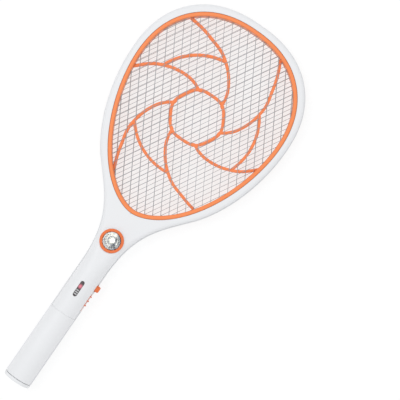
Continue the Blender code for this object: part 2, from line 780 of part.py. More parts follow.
def make_leads():
    """Loose wires inside the neck."""
    node(tube([(6.0, -28.0, 12.0), (3.0, -26.5, 14.6), (0.0, -24.0, 16.6), (0.0, -21.6, 17.0)], 0.5),
         "lead_centre", "wire_red")
    node(tube([(12.0, -27.0, 12.0), (11.0, -24.0, 16.0), (10.0, -22.8, 20.6), (10.0, -21.6, 21.8)], 0.5),
         "lead_front", "wire_black")
    node(tube([(-6.0, -27.4, 11.4), (-8.0, -25.0, 11.9), (-10.0, -21.6, 12.1)], 0.5),
         "lead_rear", "wire_black")
    node(tube([(-9.5, -77.5, 15.6), (-12.2, -72.0, 13.6), (-12.6, -60.0, 11.6), (-12.0, -50.0, 11.4),
               (-10.0, -44.2, 11.2)], 0.5), "lead_hv", "wire_red")
    node(tube([(9.5, -77.5, 15.6), (11.0, -71.0, 15.4), (9.6, -62.0, 16.0), (6.0, -57.0, 16.6)], 0.5),
         "lead_lamp", "wire_black")


# ------------------------------------------------------------------ plug between upper unit and grip

def make_plug():
    """Contact block in the upper unit with its two contacts."""
    block = rod(0, Z_MID, -143.2, -139.3, SPIGOT_RADIUS - 0.1, "Y", 32)
    for x in (-8.0, 8.0):
        cut(block, rod(x, 21.0, -146.0, -136.0, 1.4, "Y", 12))
    node(tidy(block), "socket_block", "black_plastic")
    for i, x in enumerate((-8.0, 8.0)):
        strip_z = BOARD_TOP
        contact = box(x - 1.6, x + 1.6, -139.0, -138.4, strip_z, 22.6)
        add(contact, box(x - 1.59, x + 1.59, -138.6, -137.2 + 0.0, strip_z, strip_z + 0.5))
        node(tidy(contact), f"socket_contact_{i + 1}", "gold_contact")


# ------------------------------------------------------------------ grip

def make_grip():
    """Pull-off grip: sleeve, head with the charging socket, end cap and the cell inside."""
    centre = (0.0, Z_MID)
    sleeve = spin([(HANDLE_RADIUS - WALL, SLEEVE_END_Y), (HANDLE_RADIUS, SLEEVE_END_Y),
                   (HANDLE_RADIUS, SEAM_Y - SPLIT_GAP), (HANDLE_RADIUS - WALL, SEAM_Y - SPLIT_GAP)], centre, 32)
    node(sleeve, "grip_sleeve", "white_abs")
    head = spin([(12.6, -167.0), (SPIGOT_RADIUS, -167.0), (SPIGOT_RADIUS, -144.1), (SPIGOT_RADIUS - 0.6, SPIGOT_TOP_Y),
                 (0, SPIGOT_TOP_Y), (0, -145.5), (12.6, -145.5)], centre, 24)
    cut(head, box(-4.0, 4.0, -150.0, -140.0, 15.8, 19.0))
    for x in (-8.0, 8.0):
        cut(head, rod(x, 21.0, -150.0, -140.0, 1.3, "Y", 12))
    node(tidy(head), "grip_head", "black_plastic")
    cap = spin([(0, Y_BOTTOM), (15.4, Y_BOTTOM), (16.5, -249.6), (HANDLE_RADIUS, -248.6), (HANDLE_RADIUS, -246.7),
                (HANDLE_RADIUS - WALL - FIT, -246.7), (HANDLE_RADIUS - WALL - FIT, -243.0), (0, -243.0)], centre, 32)
    node(cap, "end_cap", "white_abs")
    end = CELL_TOP_Y - CELL_LENGTH
    cell = spin([(0, end), (CELL_RADIUS, end), (CELL_RADIUS, CELL_TOP_Y - 1.2), (3.0, CELL_TOP_Y - 1.2),
                 (3.0, CELL_TOP_Y), (0, CELL_TOP_Y)], centre, 28)
    node(cell, "battery_cell", "cell_wrap")
    cradle = spin([(CELL_RADIUS + 0.35, -241.5), (CELL_RADIUS + 2.0, -241.5), (CELL_RADIUS + 2.0, -169.5),
                   (CELL_RADIUS + 0.35, -169.5)], centre, 28)
    cut(cradle, box(-20.0, 20.0, -260.0, -150.0, 14.0, 40.0))
    for y in (-232.0, -176.0):
        add(cradle, box(-6.0, 6.0, y - 1.0, y + 1.0, 4.3, 7.2))
    node(tidy(cradle), "battery_cradle", "black_plastic")
    coil = []
    turns = 3
    for i in range(turns * 10 + 1):
        a = 2 * math.pi * i / 10
        coil.append((5.0 * math.cos(a), -236.9 - 4.6 * i / (turns * 10), Z_MID + 5.0 * math.sin(a)))
    node(tube(coil, 0.45, 1), "battery_spring", "bright_steel")
    node(box(-5.0, 5.0, -170.6, -170.0, 12.5, 21.5), "battery_tab", "bright_steel")
    node(box(-9.5, 9.5, -167.5, -145.9, 14.0, 15.2), "charge_board", "board_green")
    socket = box(-3.8, 3.8, -151.5, -145.0, 15.95, 18.85)
    cut(socket, box(-3.3, 3.3, -150.6, -143.0, 16.45, 18.35))
    add(socket, box(-2.2, 2.2, -151.0, -145.4, 17.2, 17.6))
    node(tidy(socket), "usb_socket", "bright_steel")
    for i, x in enumerate((-8.0, 8.0)):
        pin = rod(x, 21.0, -154.0, -140.4, 1.0, "Y", 12)
        add(pin, box(x - 0.6, x + 0.6, -154.0, -152.8, 15.5, 21.0))
        node(tidy(pin), f"contact_pin_{i + 1}", "gold_contact")
    node(tube([(4.0, -169.2, 19.0), (6.0, -168.6, 18.4), (6.5, -166.4, 16.6), (6.0, -164.0, 16.0)], 0.5),
         "lead_cell_plus", "wire_red")
    node(tube([(-5.0, -241.8, 17.0), (-8.5, -242.3, 22.0), (-11.2, -240.0, 23.0), (-12.2, -225.0, 22.0),
               (-12.2, -180.0, 22.0), (-10.0, -170.0, 19.4), (-7.4, -164.0, 16.0)], 0.5),
         "lead_cell_minus", "wire_black")


# ------------------------------------------------------------------ screws

def make_screws():
    """Casing screws driven from the rear."""
    for i, (x, y) in enumerate(screw_places()):
        floor = screw_floor(i, y)
        screw = rod(x, y, floor - 1.6, floor - FIT, 1.8, sides=12)
        add(screw, rod(x, y, floor - 0.8, Z_MID + 4.0, 0.85, sides=8))
        cut(screw, box(x - 1.2, x + 1.2, y - 0.25, y + 0.25, floor - 3, floor - 1.1))
        cut(screw, box(x - 0.25, x + 0.25, y - 1.2, y + 1.2, floor - 3, floor - 1.1))
        node(tidy(screw), f"casing_screw_{i + 1}", "bright_steel")


clear_scene()
PIECES = collection("electric_fly_swatter")
make_shell(True)
make_shell(False)
make_guard(True)
make_guard(False)
make_net("front_net", FRONT_NET_Z, (WIRE_TILT_DEG, -WIRE_TILT_DEG), WIRE_PITCH, 10.0)
make_net("centre_net", CENTRE_NET_Z, (90.0,), CENTRE_PITCH, 0.0)
make_net("rear_net", flip(FRONT_NET_Z + NET_THICK), (WIRE_TILT_DEG, -WIRE_TILT_DEG), WIRE_PITCH, -10.0)
make_spacer("front_spacer", SPACER_Z)
make_spacer("rear_spacer", flip(SPACER_Z + SPACER_THICK))
make_lamp()
make_window()
make_button()
make_slide()
make_boards()
make_leads()
make_plug()
make_grip()
make_screws()
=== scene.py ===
"""Electric fly swatter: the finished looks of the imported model.

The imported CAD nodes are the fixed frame. This script replaces the casing, guards, nets, lamp, controls and
grip with finely shaped pieces, and gives the inner nodes finished surfaces. Sizes are in millimetres and
are turned into metres where a mesh is made.
"""
import logging
import math
from contextlib import contextmanager
from dataclasses import dataclass, field
from enum import Enum
from typing import Callable, Iterator, Sequence

import bmesh
import bpy
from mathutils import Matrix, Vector


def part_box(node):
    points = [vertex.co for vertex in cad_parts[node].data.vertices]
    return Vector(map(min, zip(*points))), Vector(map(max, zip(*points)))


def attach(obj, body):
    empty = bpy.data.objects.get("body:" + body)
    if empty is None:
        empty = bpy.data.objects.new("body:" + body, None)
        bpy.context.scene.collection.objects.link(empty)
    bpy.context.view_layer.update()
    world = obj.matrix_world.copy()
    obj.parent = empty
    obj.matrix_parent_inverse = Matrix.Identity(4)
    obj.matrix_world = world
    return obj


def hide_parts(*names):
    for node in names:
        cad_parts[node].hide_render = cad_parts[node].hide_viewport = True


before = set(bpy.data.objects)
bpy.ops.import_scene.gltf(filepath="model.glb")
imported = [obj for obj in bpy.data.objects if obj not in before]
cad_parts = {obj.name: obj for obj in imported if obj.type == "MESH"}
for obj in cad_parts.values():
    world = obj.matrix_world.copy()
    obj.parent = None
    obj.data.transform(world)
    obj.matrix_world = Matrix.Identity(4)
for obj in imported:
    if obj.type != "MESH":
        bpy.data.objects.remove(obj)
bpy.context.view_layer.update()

LOG = logging.getLogger("swatter")
MM = 0.001
Point = tuple[float, float]
Piece = bpy.types.Object
Tree = bpy.types.NodeTree
Node = bpy.types.Node
Socket = bpy.types.NodeSocket

# Sizes that several sub-assemblies share, in millimetres.
PARTING_Z = 17.0
LAMP_Y = -53.5
HUB_Y = 119.6
CONTACT_X, CONTACT_Z = (-8.0, 8.0), 21.0


# ---- Modelling helpers --------------------

def node_box(name: str) -> tuple[Vector, Vector]:
    """Lowest and highest corner of a CAD node, in millimetres."""
    low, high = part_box(name)
    return Vector(low) / MM, Vector(high) / MM


def deselect() -> None:
    """Leave nothing selected and no object in edit mode."""
    if bpy.context.object and bpy.context.object.mode != "OBJECT":
        bpy.ops.object.mode_set(mode="OBJECT")
    bpy.ops.object.select_all(action="DESELECT")


def pick(*pieces: Piece) -> Piece:
    """Select some objects and make the first of them active."""
    deselect()
    for piece in pieces:
        piece.select_set(True)
    bpy.context.view_layer.objects.active = pieces[0]
    return pieces[0]


@contextmanager
def editing(piece: Piece) -> Iterator[bmesh.types.BMesh]:
    """Open a piece in edit mode, and close it afterwards.

    Args:
        piece: The mesh object to edit.
    """
    pick(piece)
    bpy.ops.object.mode_set(mode="EDIT")
    bpy.ops.mesh.select_all(action="DESELECT")
    try:
        yield bmesh.from_edit_mesh(piece.data)
    finally:
        bpy.ops.object.mode_set(mode="OBJECT")


def choose_edges(mesh: bmesh.types.BMesh, rule: Callable[[bmesh.types.BMEdge], bool]) -> None:
    """Select the edges of an open mesh that a rule accepts."""
    bpy.ops.mesh.select_mode(type="EDGE")
    for edge in mesh.edges:
        edge.select = rule(edge)
    mesh.select_flush_mode()


def settle(piece: Piece) -> Piece:
    """Put a piece's place into its mesh."""
    pick(piece)
    bpy.ops.object.transform_apply(location=True, rotation=True, scale=True)
    return piece


def modify(piece: Piece, kind: str, **settings: object) -> Piece:
    """Add a modifier to a piece and apply it.

    Args:
        piece: The object to change.
        kind: Blender's name of the modifier type.
        **settings: Values for the modifier's properties.

    Returns:
        The same object.
    """
    pick(piece)
    tool = piece.modifiers.new(kind.lower(), kind)
    for key, value in settings.items():
        setattr(tool, key, value)
    bpy.ops.object.modifier_apply(modifier=tool.name)
    return piece


def combine(piece: Piece, operation: str, *others: Piece) -> Piece:
    """Cut, join or intersect with other pieces, which are used up.

    Args:
        piece: The object to change.
        operation: DIFFERENCE, UNION or INTERSECT.
        *others: Closed meshes.

    Returns:
        The same object.
    """
    for other in others:
        modify(piece, "BOOLEAN", operation=operation, solver="EXACT", object=other)
        bpy.data.objects.remove(other, do_unlink=True)
    return piece


def merge(*pieces: Piece) -> Piece:
    """Put several meshes into the first object."""
    if len(pieces) > 1:
        pick(*pieces)
        bpy.ops.object.join()
    return pieces[0]


def clean(piece: Piece, reach_mm: float = 0.002) -> Piece:
    """Weld doubles and turn all faces outwards."""
    with editing(piece):
        bpy.ops.mesh.select_all(action="SELECT")
        bpy.ops.mesh.remove_doubles(threshold=reach_mm * MM)
        bpy.ops.mesh.normals_make_consistent(inside=False)
    return piece


def smooth(piece: Piece, angle_deg: float = 32.0) -> Piece:
    """Shade a piece smooth, with creases above an angle."""
    pick(piece)
    bpy.ops.object.shade_smooth_by_angle(angle=math.radians(angle_deg))
    return piece


def warp(piece: Piece, rule: Callable[[Vector], Sequence[float]]) -> Piece:
    """Move every vertex of a piece in object mode.

    Args:
        piece: The mesh object.
        rule: Takes a vertex's place and returns its new place, both in metres.

    Returns:
        The same object.
    """
    for vertex in piece.data.vertices:
        vertex.co = rule(vertex.co.copy())
    piece.data.update()
    return piece


def block(low: Sequence[float], high: Sequence[float], edge_mm: float = 0.0, segments: int = 3,
          corner_mm: float = 0.0, corner_axis: int = 2, corner_steps: int = 8) -> Piece:
    """Box with rounded corners along one axis and eased edges all round.

    Args:
        low: Lowest corner in millimetres.
        high: Highest corner in millimetres.
        edge_mm: Radius of the eased edges.
        segments: Steps in an eased edge.
        corner_mm: Radius of the four corners that run along corner_axis.
        corner_axis: 0, 1 or 2 for X, Y or Z.
        corner_steps: Steps in a rounded corner.

    Returns:
        The new object.
    """
    low_v, high_v = Vector(low) * MM, Vector(high) * MM
    deselect()
    bpy.ops.mesh.primitive_cube_add(size=1.0, location=(low_v + high_v) / 2, scale=high_v - low_v)
    piece = settle(bpy.context.object)
    if corner_mm > 0:
        with editing(piece) as mesh:
            choose_edges(mesh, lambda e: abs((e.verts[0].co - e.verts[1].co).normalized()[corner_axis]) > 0.9)
            bpy.ops.mesh.bevel(offset=corner_mm * MM, segments=corner_steps, affect="EDGES")
        clean(piece)
    if edge_mm > 0:
        modify(piece, "BEVEL", width=edge_mm * MM, segments=segments, limit_method="ANGLE",
               angle_limit=math.radians(50), harden_normals=False)
    return piece


def turned(profile: Sequence[Point], centre: Sequence[float], axis: int, steps: int = 64) -> Piece:
    """Turn a profile about an axis with the spin tool.

    Args:
        profile: (radius, height) points in millimetres; a point at radius 0 closes a pole.
        centre: A point on the axis in millimetres; its own coordinate along the axis is added to the heights.
        axis: 0, 1 or 2 for X, Y or Z.
        steps: Number of steps round.

    Returns:
        The new object.
    """
    side = (axis + 1) % 3
    places = []
    for radius, height in profile:
        place = Vector(centre) * MM
        place[axis] += height * MM
        place[side] += radius * MM
        places.append(place)
    if max(profile[0][0], profile[-1][0]) > 1e-6:
        places.append(places[0])
    direction = Vector((0.0, 0.0, 0.0))
    direction[axis] = 1.0
    deselect()
    bpy.ops.mesh.primitive_plane_add(size=0.001, location=places[0])
    piece = settle(bpy.context.object)
    with editing(piece):
        bpy.ops.mesh.select_mode(type="VERT")
        bpy.ops.mesh.select_all(action="SELECT")
        bpy.ops.mesh.merge(type="CENTER")
        for start, end in zip(places, places[1:]):
            bpy.ops.mesh.extrude_region_move(TRANSFORM_OT_translate={"value": end - start})
        bpy.ops.mesh.select_all(action="SELECT")
        bpy.ops.mesh.spin(steps=steps, angle=math.tau, center=Vector(centre) * MM, axis=direction)
    clean(piece)
    return piece


def rod(radius: float, low: float, high: float, centre: Sequence[float], axis: int,
        steps: int = 32) -> Piece:
    """Plain round bar, for a boss, a stem or the cutter of a hole.

    Args:
        radius: Its radius in millimetres.
        low: Height of one end.
        high: Height of the other end.
        centre: A point on the axis, as for turned.
        axis: 0, 1 or 2 for X, Y or Z.
        steps: Number of steps round.

    Returns:
        The new object.
    """
    return turned([(0, low), (radius, low), (radius, high), (0, high)], centre, axis, steps)


def arc(centre: Point, radius: float, start_deg: float, end_deg: float, steps: int = 6) -> list[Point]:
    """Points of a circular arc in a profile."""
    turn = [math.radians(start_deg + (end_deg - start_deg) * i / steps) for i in range(steps + 1)]
    return [(centre[0] + radius * math.cos(a), centre[1] + radius * math.sin(a)) for a in turn]


# ---- Finishes --------------------

def linear(colour: str) -> tuple[float, float, float, float]:
    """Turn an sRGB hex colour into linear light."""
    parts = [int(colour[i:i + 2], 16) / 255 for i in (1, 3, 5)]
    return (*[c / 12.92 if c <= 0.04045 else ((c + 0.055) / 1.055) ** 2.4 for c in parts], 1.0)


def feed(tree: Tree, node: Node, inputs: dict) -> None:
    """Fill a node's inputs: a socket is linked, and anything else is set on the node's own socket."""
    for key, value in inputs.items():
        if isinstance(value, Socket):
            tree.links.new(value, node.inputs[key])
        else:
            node.inputs[key].default_value = value


def put(tree: Tree, kind: str, inputs: dict | None = None,
        **settings: object) -> Node:
    """Add a shader node with its settings and links.

    Args:
        tree: The node tree.
        kind: The node's type name without the ShaderNode prefix.
        inputs: Socket name or number to a value, or to the socket that feeds it.
        **settings: Values for the node's own properties.

    Returns:
        The new node.
    """
    made = tree.nodes.new("ShaderNode" + kind)
    for key, value in settings.items():
        setattr(made, key, value)
    feed(tree, made, inputs or {})
    return made


@dataclass(frozen=True)
class Finish:
    """A surface finish.

    Attributes:
        name: What the material really is.
        slot: The record's material slot that it stands for; not used.
        colour: Main colour, sRGB hex.
        shade: Second colour that the main one wanders to.
        roughness: Middle roughness.
    """

    name: str
    slot: str
    colour: str
    shade: str
    roughness: float

    def dress(self, tree: Tree, shader: Node, place: Socket) -> None:
        """Fill in the surface; each kind of finish has its own way."""
        raise NotImplementedError

    def paint(self, tree: Tree, shader: Node, pattern: Socket,
              relief: Socket | None = None, depth: float = 0.0,
              rise_mm: float = 0.0) -> Socket:
        """Let a pattern wander between the two colours, and raise the surface by a relief.

        Args:
            tree: The node tree.
            shader: Its Principled shader.
            pattern: Runs from 0, the main colour, to 1, the second one.
            relief: Height of the relief, where there is one.
            depth: Strength of the relief.
            rise_mm: Its real height.

        Returns:
            The colour.
        """
        mix = put(tree, "Mix", {0: pattern, 6: linear(self.colour), 7: linear(self.shade)}, data_type="RGBA")
        feed(tree, shader, {"Base Color": mix.outputs[2]})
        if relief is not None:
            bump = put(tree, "Bump", {"Height": relief, "Strength": depth, "Distance": rise_mm * MM})
            feed(tree, shader, {"Normal": bump.outputs["Normal"]})
        return mix.outputs[2]

    def material(self) -> bpy.types.Material:
        """Return the finished material, made once."""
        known = bpy.data.materials.get(self.name)
        if known:
            return known
        material = bpy.data.materials.new(self.name)
        material.use_nodes = True
        tree = material.node_tree
        shader = tree.nodes["Principled BSDF"]
        feed(tree, shader, {"Roughness": self.roughness})
        self.dress(tree, shader, put(tree, "TexCoord").outputs["Object"])
        return material


@dataclass(frozen=True)
class MouldedPlastic(Finish):
    """Injection-moulded plastic with a fine spark-eroded grain and faint flow clouds.

    Attributes:
        grain_mm: Size of the grain of the tool's surface.
        depth: Strength of the grain's relief.
        cloud_mm: Size of the soft colour clouds.
        ior: Index of refraction.
        coat: Share of clear gloss on top.
    """

    grain_mm: float = 0.7
    depth: float = 0.10
    cloud_mm: float = 45.0
    ior: float = 1.53
    coat: float = 0.0

    def dress(self, tree: Tree, shader: Node, place: Socket) -> None:
        """Clouded colour, uneven gloss and a fine grain."""
        cloud = put(tree, "TexNoise", {"Vector": place, "Scale": 1000.0 / self.cloud_mm, "Detail": 3.0})
        wear = put(tree, "TexNoise", {"Vector": place, "Scale": 1000.0 / (self.cloud_mm / 4), "Detail": 5.0})
        gloss = put(tree, "MapRange", {"Value": wear.outputs["Fac"], "From Min": 0.3, "From Max": 0.7,
                                       "To Min": self.roughness - 0.05, "To Max": self.roughness + 0.06})
        grain = put(tree, "TexNoise", {"Vector": place, "Scale": 1000.0 / self.grain_mm, "Detail": 4.0,
                                       "Roughness": 0.6})
        self.paint(tree, shader, cloud.outputs["Fac"], grain.outputs["Fac"], self.depth, 0.08)
        feed(tree, shader, {"Roughness": gloss.outputs["Result"], "IOR": self.ior, "Coat Weight": self.coat})


@dataclass(frozen=True)
class Metal(Finish):
    """Plated, drawn or stamped metal with faint streaks.

    Attributes:
        streak_mm: Spacing of the drawing or handling marks.
        stretch: How much longer the marks are along their direction.
        depth: Strength of the relief.
        plating: Share of bare metal at the surface; the rest is lacquer over it.
    """

    streak_mm: float = 0.6
    stretch: float = 12.0
    depth: float = 0.05
    plating: float = 1.0

    def dress(self, tree: Tree, shader: Node, place: Socket) -> None:
        """Streaked colour and gloss."""
        squeeze = put(tree, "Mapping", {"Vector": place, "Scale": (1.0, 1.0 / self.stretch, 1.0)})
        streak = put(tree, "TexNoise", {"Vector": squeeze.outputs["Vector"], "Scale": 1000.0 / self.streak_mm,
                                        "Detail": 6.0, "Roughness": 0.65})
        gloss = put(tree, "MapRange", {"Value": streak.outputs["Fac"], "From Min": 0.25, "From Max": 0.75,
                                       "To Min": max(0.03, self.roughness - 0.08),
                                       "To Max": self.roughness + 0.1})
        self.paint(tree, shader, streak.outputs["Fac"], streak.outputs["Fac"], self.depth, 0.05)
        feed(tree, shader, {"Roughness": gloss.outputs["Result"], "Metallic": self.plating})


@dataclass(frozen=True)
class PlatedBowl(Metal):
    """Vacuum plating with painted blue-grey shade in blotches on one side.

    Attributes:
        painted_shade: Colour of the painted shade blotches.
        shade_patch_mm: Size of the painted shade patches.
    """

    painted_shade: str = "#5C6476"
    shade_patch_mm: float = 5.0

    def dress(self, tree: Tree, shader: Node, place: Socket) -> None:
        """Plating with painted shade in blotches towards the right-hand side."""
        super().dress(tree, shader, place)
        # Painted shade: blue-grey blotches mixed into the plating's colour, more of them towards +X, standing
        # in for the dark side of the lamp.
        side = put(tree, "SeparateXYZ", {0: place})
        share = put(tree, "MapRange", {"Value": side.outputs["X"], "From Min": -0.5 * MM,
                                       "From Max": 4.0 * MM}, interpolation_type="SMOOTHSTEP")
        patch = put(tree, "TexNoise", {"Vector": place, "Scale": 1000.0 / self.shade_patch_mm, "Detail": 3.0})
        spots = put(tree, "MapRange", {"Value": patch.outputs["Fac"], "From Min": 0.30, "From Max": 0.50})
        both = put(tree, "Math", {0: share.outputs["Result"], 1: spots.outputs["Result"]},
                   operation="MULTIPLY")
        plated = shader.inputs["Base Color"].links[0].from_socket
        mix = put(tree, "Mix", {0: both.outputs["Value"], 6: plated, 7: linear(self.painted_shade)}, data_type="RGBA")
        feed(tree, shader, {"Base Color": mix.outputs[2]})


@dataclass(frozen=True)
class CircuitBoard(Finish):
    """Glass-fibre board: solder mask over copper tracks, with tinned pads.

    Attributes:
        track_mm: Distance between neighbouring tracks.
        pad_mm: Distance between pads.
    """

    track_mm: float = 2.4
    pad_mm: float = 4.0

    def dress(self, tree: Tree, shader: Node, place: Socket) -> None:
        """Tracks as angular cells under the mask, and small bright pads."""
        cells = put(tree, "TexVoronoi", {"Vector": place, "Scale": 1000.0 / self.track_mm,
                                         "Randomness": 0.35}, distance="CHEBYCHEV", feature="F2")
        edge = put(tree, "MapRange", {"Value": cells.outputs["Distance"], "From Min": 0.55, "From Max": 0.62})
        mask = put(tree, "Mix", {0: edge.outputs["Result"], 6: linear(self.colour), 7: linear(self.shade)},
                   data_type="RGBA")
        dots = put(tree, "TexVoronoi", {"Vector": place, "Scale": 1000.0 / self.pad_mm, "Randomness": 0.5})
        pad = put(tree, "MapRange", {"Value": dots.outputs["Distance"], "From Min": 0.13, "From Max": 0.10})
        tinned = put(tree, "Mix", {0: pad.outputs["Result"], 6: mask.outputs[2], 7: linear("#C9CBCD")},
                     data_type="RGBA")
        relief = put(tree, "Bump", {"Height": edge.outputs["Result"], "Strength": 0.3, "Distance": 0.05 * MM})
        feed(tree, shader, {"Base Color": tinned.outputs[2], "Metallic": pad.outputs["Result"],
                            "Normal": relief.outputs["Normal"]})


@dataclass(frozen=True)
class Winding(Finish):
    """Enamelled copper wire wound in close turns.

    Attributes:
        wire_mm: Spacing of the turns.
        bare: Share of metal that shows through the enamel.
    """

    wire_mm: float = 0.45
    bare: float = 0.85

    def dress(self, tree: Tree, shader: Node, place: Socket) -> None:
        """Bands across Z, one for each turn, drawn coarser than the real wire so that they show."""
        bands = put(tree, "TexWave", {"Vector": place, "Scale": math.tau / (self.wire_mm * MM) / 20.0,
                                      "Distortion": 0.6, "Detail": 1.0}, bands_direction="Z")
        self.paint(tree, shader, bands.outputs["Fac"], bands.outputs["Fac"], 0.6, 0.15)
        feed(tree, shader, {"Metallic": self.bare})


@dataclass(frozen=True)
class ClearPlastic(Finish):
    """Clear moulded acrylic or resin.

    Attributes:
        ior: Index of refraction.
        through: Share of light that passes.
        ripple_mm: Size of the faint ripples left by moulding.
    """

    ior: float = 1.49
    through: float = 1.0
    ripple_mm: float = 6.0

    def dress(self, tree: Tree, shader: Node, place: Socket) -> None:
        """Slight ripples and a touch of haze."""
        ripple = put(tree, "TexNoise", {"Vector": place, "Scale": 1000.0 / self.ripple_mm, "Detail": 1.0})
        self.paint(tree, shader, ripple.outputs["Fac"], ripple.outputs["Fac"], 0.15, 0.2)
        feed(tree, shader, {"IOR": self.ior, "Transmission Weight": self.through})


@dataclass(frozen=True)
class Glow(Finish):
    """A lit emitter under resin.

    Attributes:
        power: Strength of the light.
        spread_mm: Size of the bright die pattern.
    """

    power: float = 1.0
    spread_mm: float = 1.2

    def dress(self, tree: Tree, shader: Node, place: Socket) -> None:
        """Mottled resin with its own light."""
        grain = put(tree, "TexNoise", {"Vector": place, "Scale": 1000.0 / self.spread_mm, "Detail": 2.0})
        colour = self.paint(tree, shader, grain.outputs["Fac"])
        feed(tree, shader, {"Emission Color": colour, "Emission Strength": self.power})


@dataclass(frozen=True)
class SmokedWindow(Finish):
    """Dark see-through strip with the light of a lamp under one end painted on as a glow.

    Attributes:
        glow: Colour of the painted glow.
        lamp: Place of the lamp in millimetres.
        reach_mm: How far the painted glow spreads.
        power: Strength of the painted glow.
    """

    glow: str = "#EC7288"
    lamp: tuple[float, float, float] = (0.0, 0.0, 0.0)
    reach_mm: float = 4.0
    power: float = 0.85

    def dress(self, tree: Tree, shader: Node, place: Socket) -> None:
        """Smoke-dark gloss with a painted soft round glow where the lamp lies under it."""
        # Painted glow: emission that fades out round the lamp's place, standing in for its light through the
        # strip.
        away = put(tree, "VectorMath", {0: place, 1: tuple(c * MM for c in self.lamp)}, operation="DISTANCE")
        fade = put(tree, "MapRange", {"Value": away.outputs["Value"], "From Min": 0.4 * MM,
                                      "From Max": self.reach_mm * MM, "To Min": 1.0, "To Max": 0.0},
                   interpolation_type="SMOOTHSTEP")
        grain = put(tree, "TexNoise", {"Vector": place, "Scale": 1000.0 / 3.0})
        self.paint(tree, shader, grain.outputs["Fac"])
        lit = put(tree, "Mix", {0: fade.outputs["Result"], 6: (0.0, 0.0, 0.0, 1.0), 7: linear(self.glow)},
                  data_type="RGBA")
        feed(tree, shader, {"Emission Color": lit.outputs[2], "Emission Strength": self.power, "IOR": 1.49})


@dataclass(frozen=True)
class TableTop(Finish):
    """Matt laminate of the floor, lit a little from within as in a light tent.

    Attributes:
        power: Strength of its own light.
    """

    power: float = 0.67

    def dress(self, tree: Tree, shader: Node, place: Socket) -> None:
        """Barely clouded white without any gloss."""
        cloud = put(tree, "TexNoise", {"Vector": place, "Scale": 3.0, "Detail": 2.0})
        self.paint(tree, shader, cloud.outputs["Fac"])
        feed(tree, shader, {"Emission Color": (1.0, 1.0, 1.0, 1.0), "Emission Strength": self.power,
                            "Specular IOR Level": 0.0})


# Satin ABS: the tool's fine grain breaks the highlights, so the white reads soft, with a faint cool cast.
WHITE_ABS = MouldedPlastic("satin_white_abs", "white_abs", "#EBECEE", "#E8E9EB", 0.42)
# The same ABS coloured through: warm light orange, a little redder where it is thick.
ORANGE_ABS = MouldedPlastic("satin_orange_abs", "orange_abs", "#F98E4E", "#F6874A", 0.36, cloud_mm=30.0)
# Rubbery touch of the small controls: deeper orange and duller.
ORANGE_KEY = MouldedPlastic("matt_orange_abs", "orange_abs", "#F07A3C", "#E36C33", 0.5, grain_mm=0.5,
                            depth=0.2)
# Black glass-filled nylon of inner mouldings: dull, with a visible grain.
BLACK_NYLON = MouldedPlastic("black_nylon", "black_plastic", "#1B1B1D", "#262628", 0.55, grain_mm=0.5,
                             depth=0.3)
# The rib frames' ABS has a duller skin, since the part is thin and has no polished face; its orange is
# painted a little lighter and redder than the ring's, as painted light against the shade the ribs sit in.
RIB_ABS = MouldedPlastic("dull_orange_abs", "orange_abs", "#FF8F50", "#FB8044", 0.45, cloud_mm=18.0)
# Galvanised steel wire: grey, softly bright, with drawing marks along it.
NET_STEEL = Metal("galvanised_wire", "steel_net", "#BBBCBF", "#A1A2A5", 0.38, streak_mm=1.5, stretch=4.0,
                  plating=0.45)
# Nickel-plated steel sheet of shells, tabs and screws: brighter and smoother.
NICKEL_STEEL = Metal("nickel_plated_steel", "bright_steel", "#D5D5D3", "#B4B4B3", 0.24)
# Vacuum-plated reflector: almost a mirror, with painted blue-grey shade in blotches on one side.
PLATED_BOWL = PlatedBowl("vacuum_plated_plastic", "chrome_mirror", "#FFFFFF", "#F4F6FA", 0.20, streak_mm=3.0,
                         depth=0.02, plating=0.35)
# Gold-flashed contacts: yellow and smooth.
GOLD = Metal("gold_flashed_brass", "gold_contact", "#E8C478", "#CFA75A", 0.22)
# Clear acrylic lens: nearly colourless.
CLEAR = ClearPlastic("clear_acrylic", "clear_lens", "#FFFFFF", "#F8FBFC", 0.04)
# Glass-fibre board under a printed mask: green, with lighter tracks and small bright soldered pads.
BOARD = CircuitBoard("solder_masked_board", "board_green", "#0F4A27", "#1E6B3B", 0.35)
# Enamelled wire in close turns: dark brown between the turns, bright copper along them.
COPPER = Winding("enamelled_copper", "copper", "#7C3E1E", "#D68A55", 0.32)
# Sintered ferrite: near-black, dull, faintly speckled.
FERRITE = MouldedPlastic("sintered_ferrite", "ferrite", "#2C2C2F", "#3C3C40", 0.72, grain_mm=0.35, depth=0.5)
# Powder-dipped resistor body: even blue with an egg-shell gloss.
EPOXY_BLUE = MouldedPlastic("blue_ceramic_coat", "part_blue", "#2C5C9A", "#3A6FB0", 0.4, grain_mm=0.4)
# Resin-dipped film capacitor: tan and glossy, as if varnished.
FILM_TAN = MouldedPlastic("tan_resin_dip", "part_tan", "#C79A62", "#B88950", 0.28, coat=0.3)
# Heat-shrunk PVC sleeve of the cell: glossy blue with faint wrinkles.
CELL_SLEEVE = MouldedPlastic("shrunk_pvc_sleeve", "cell_wrap", "#2A74B8", "#3381C4", 0.25, grain_mm=3.0,
                             depth=0.2)
# Extruded soft PVC of the leads: plain colours with a dull sheen.
RED_PVC = MouldedPlastic("red_pvc_insulation", "wire_red", "#A81B1B", "#BC2A26", 0.45, grain_mm=0.5)
BLACK_PVC = MouldedPlastic("black_pvc_insulation", "wire_black", "#161617", "#212122", 0.45, grain_mm=0.5)
# Red resin with its die lit: brightest at the die, so it reads pink-red.
RED_LED = Glow("lit_red_resin", "led_red", "#FF4A56", "#F02038", 0.3, power=2.0)
# The same kind of resin, unlit: honey-coloured and glossy.
AMBER_LED = MouldedPlastic("unlit_amber_resin", "led_yellow", "#F1D28A", "#E8C36E", 0.2, coat=0.5)
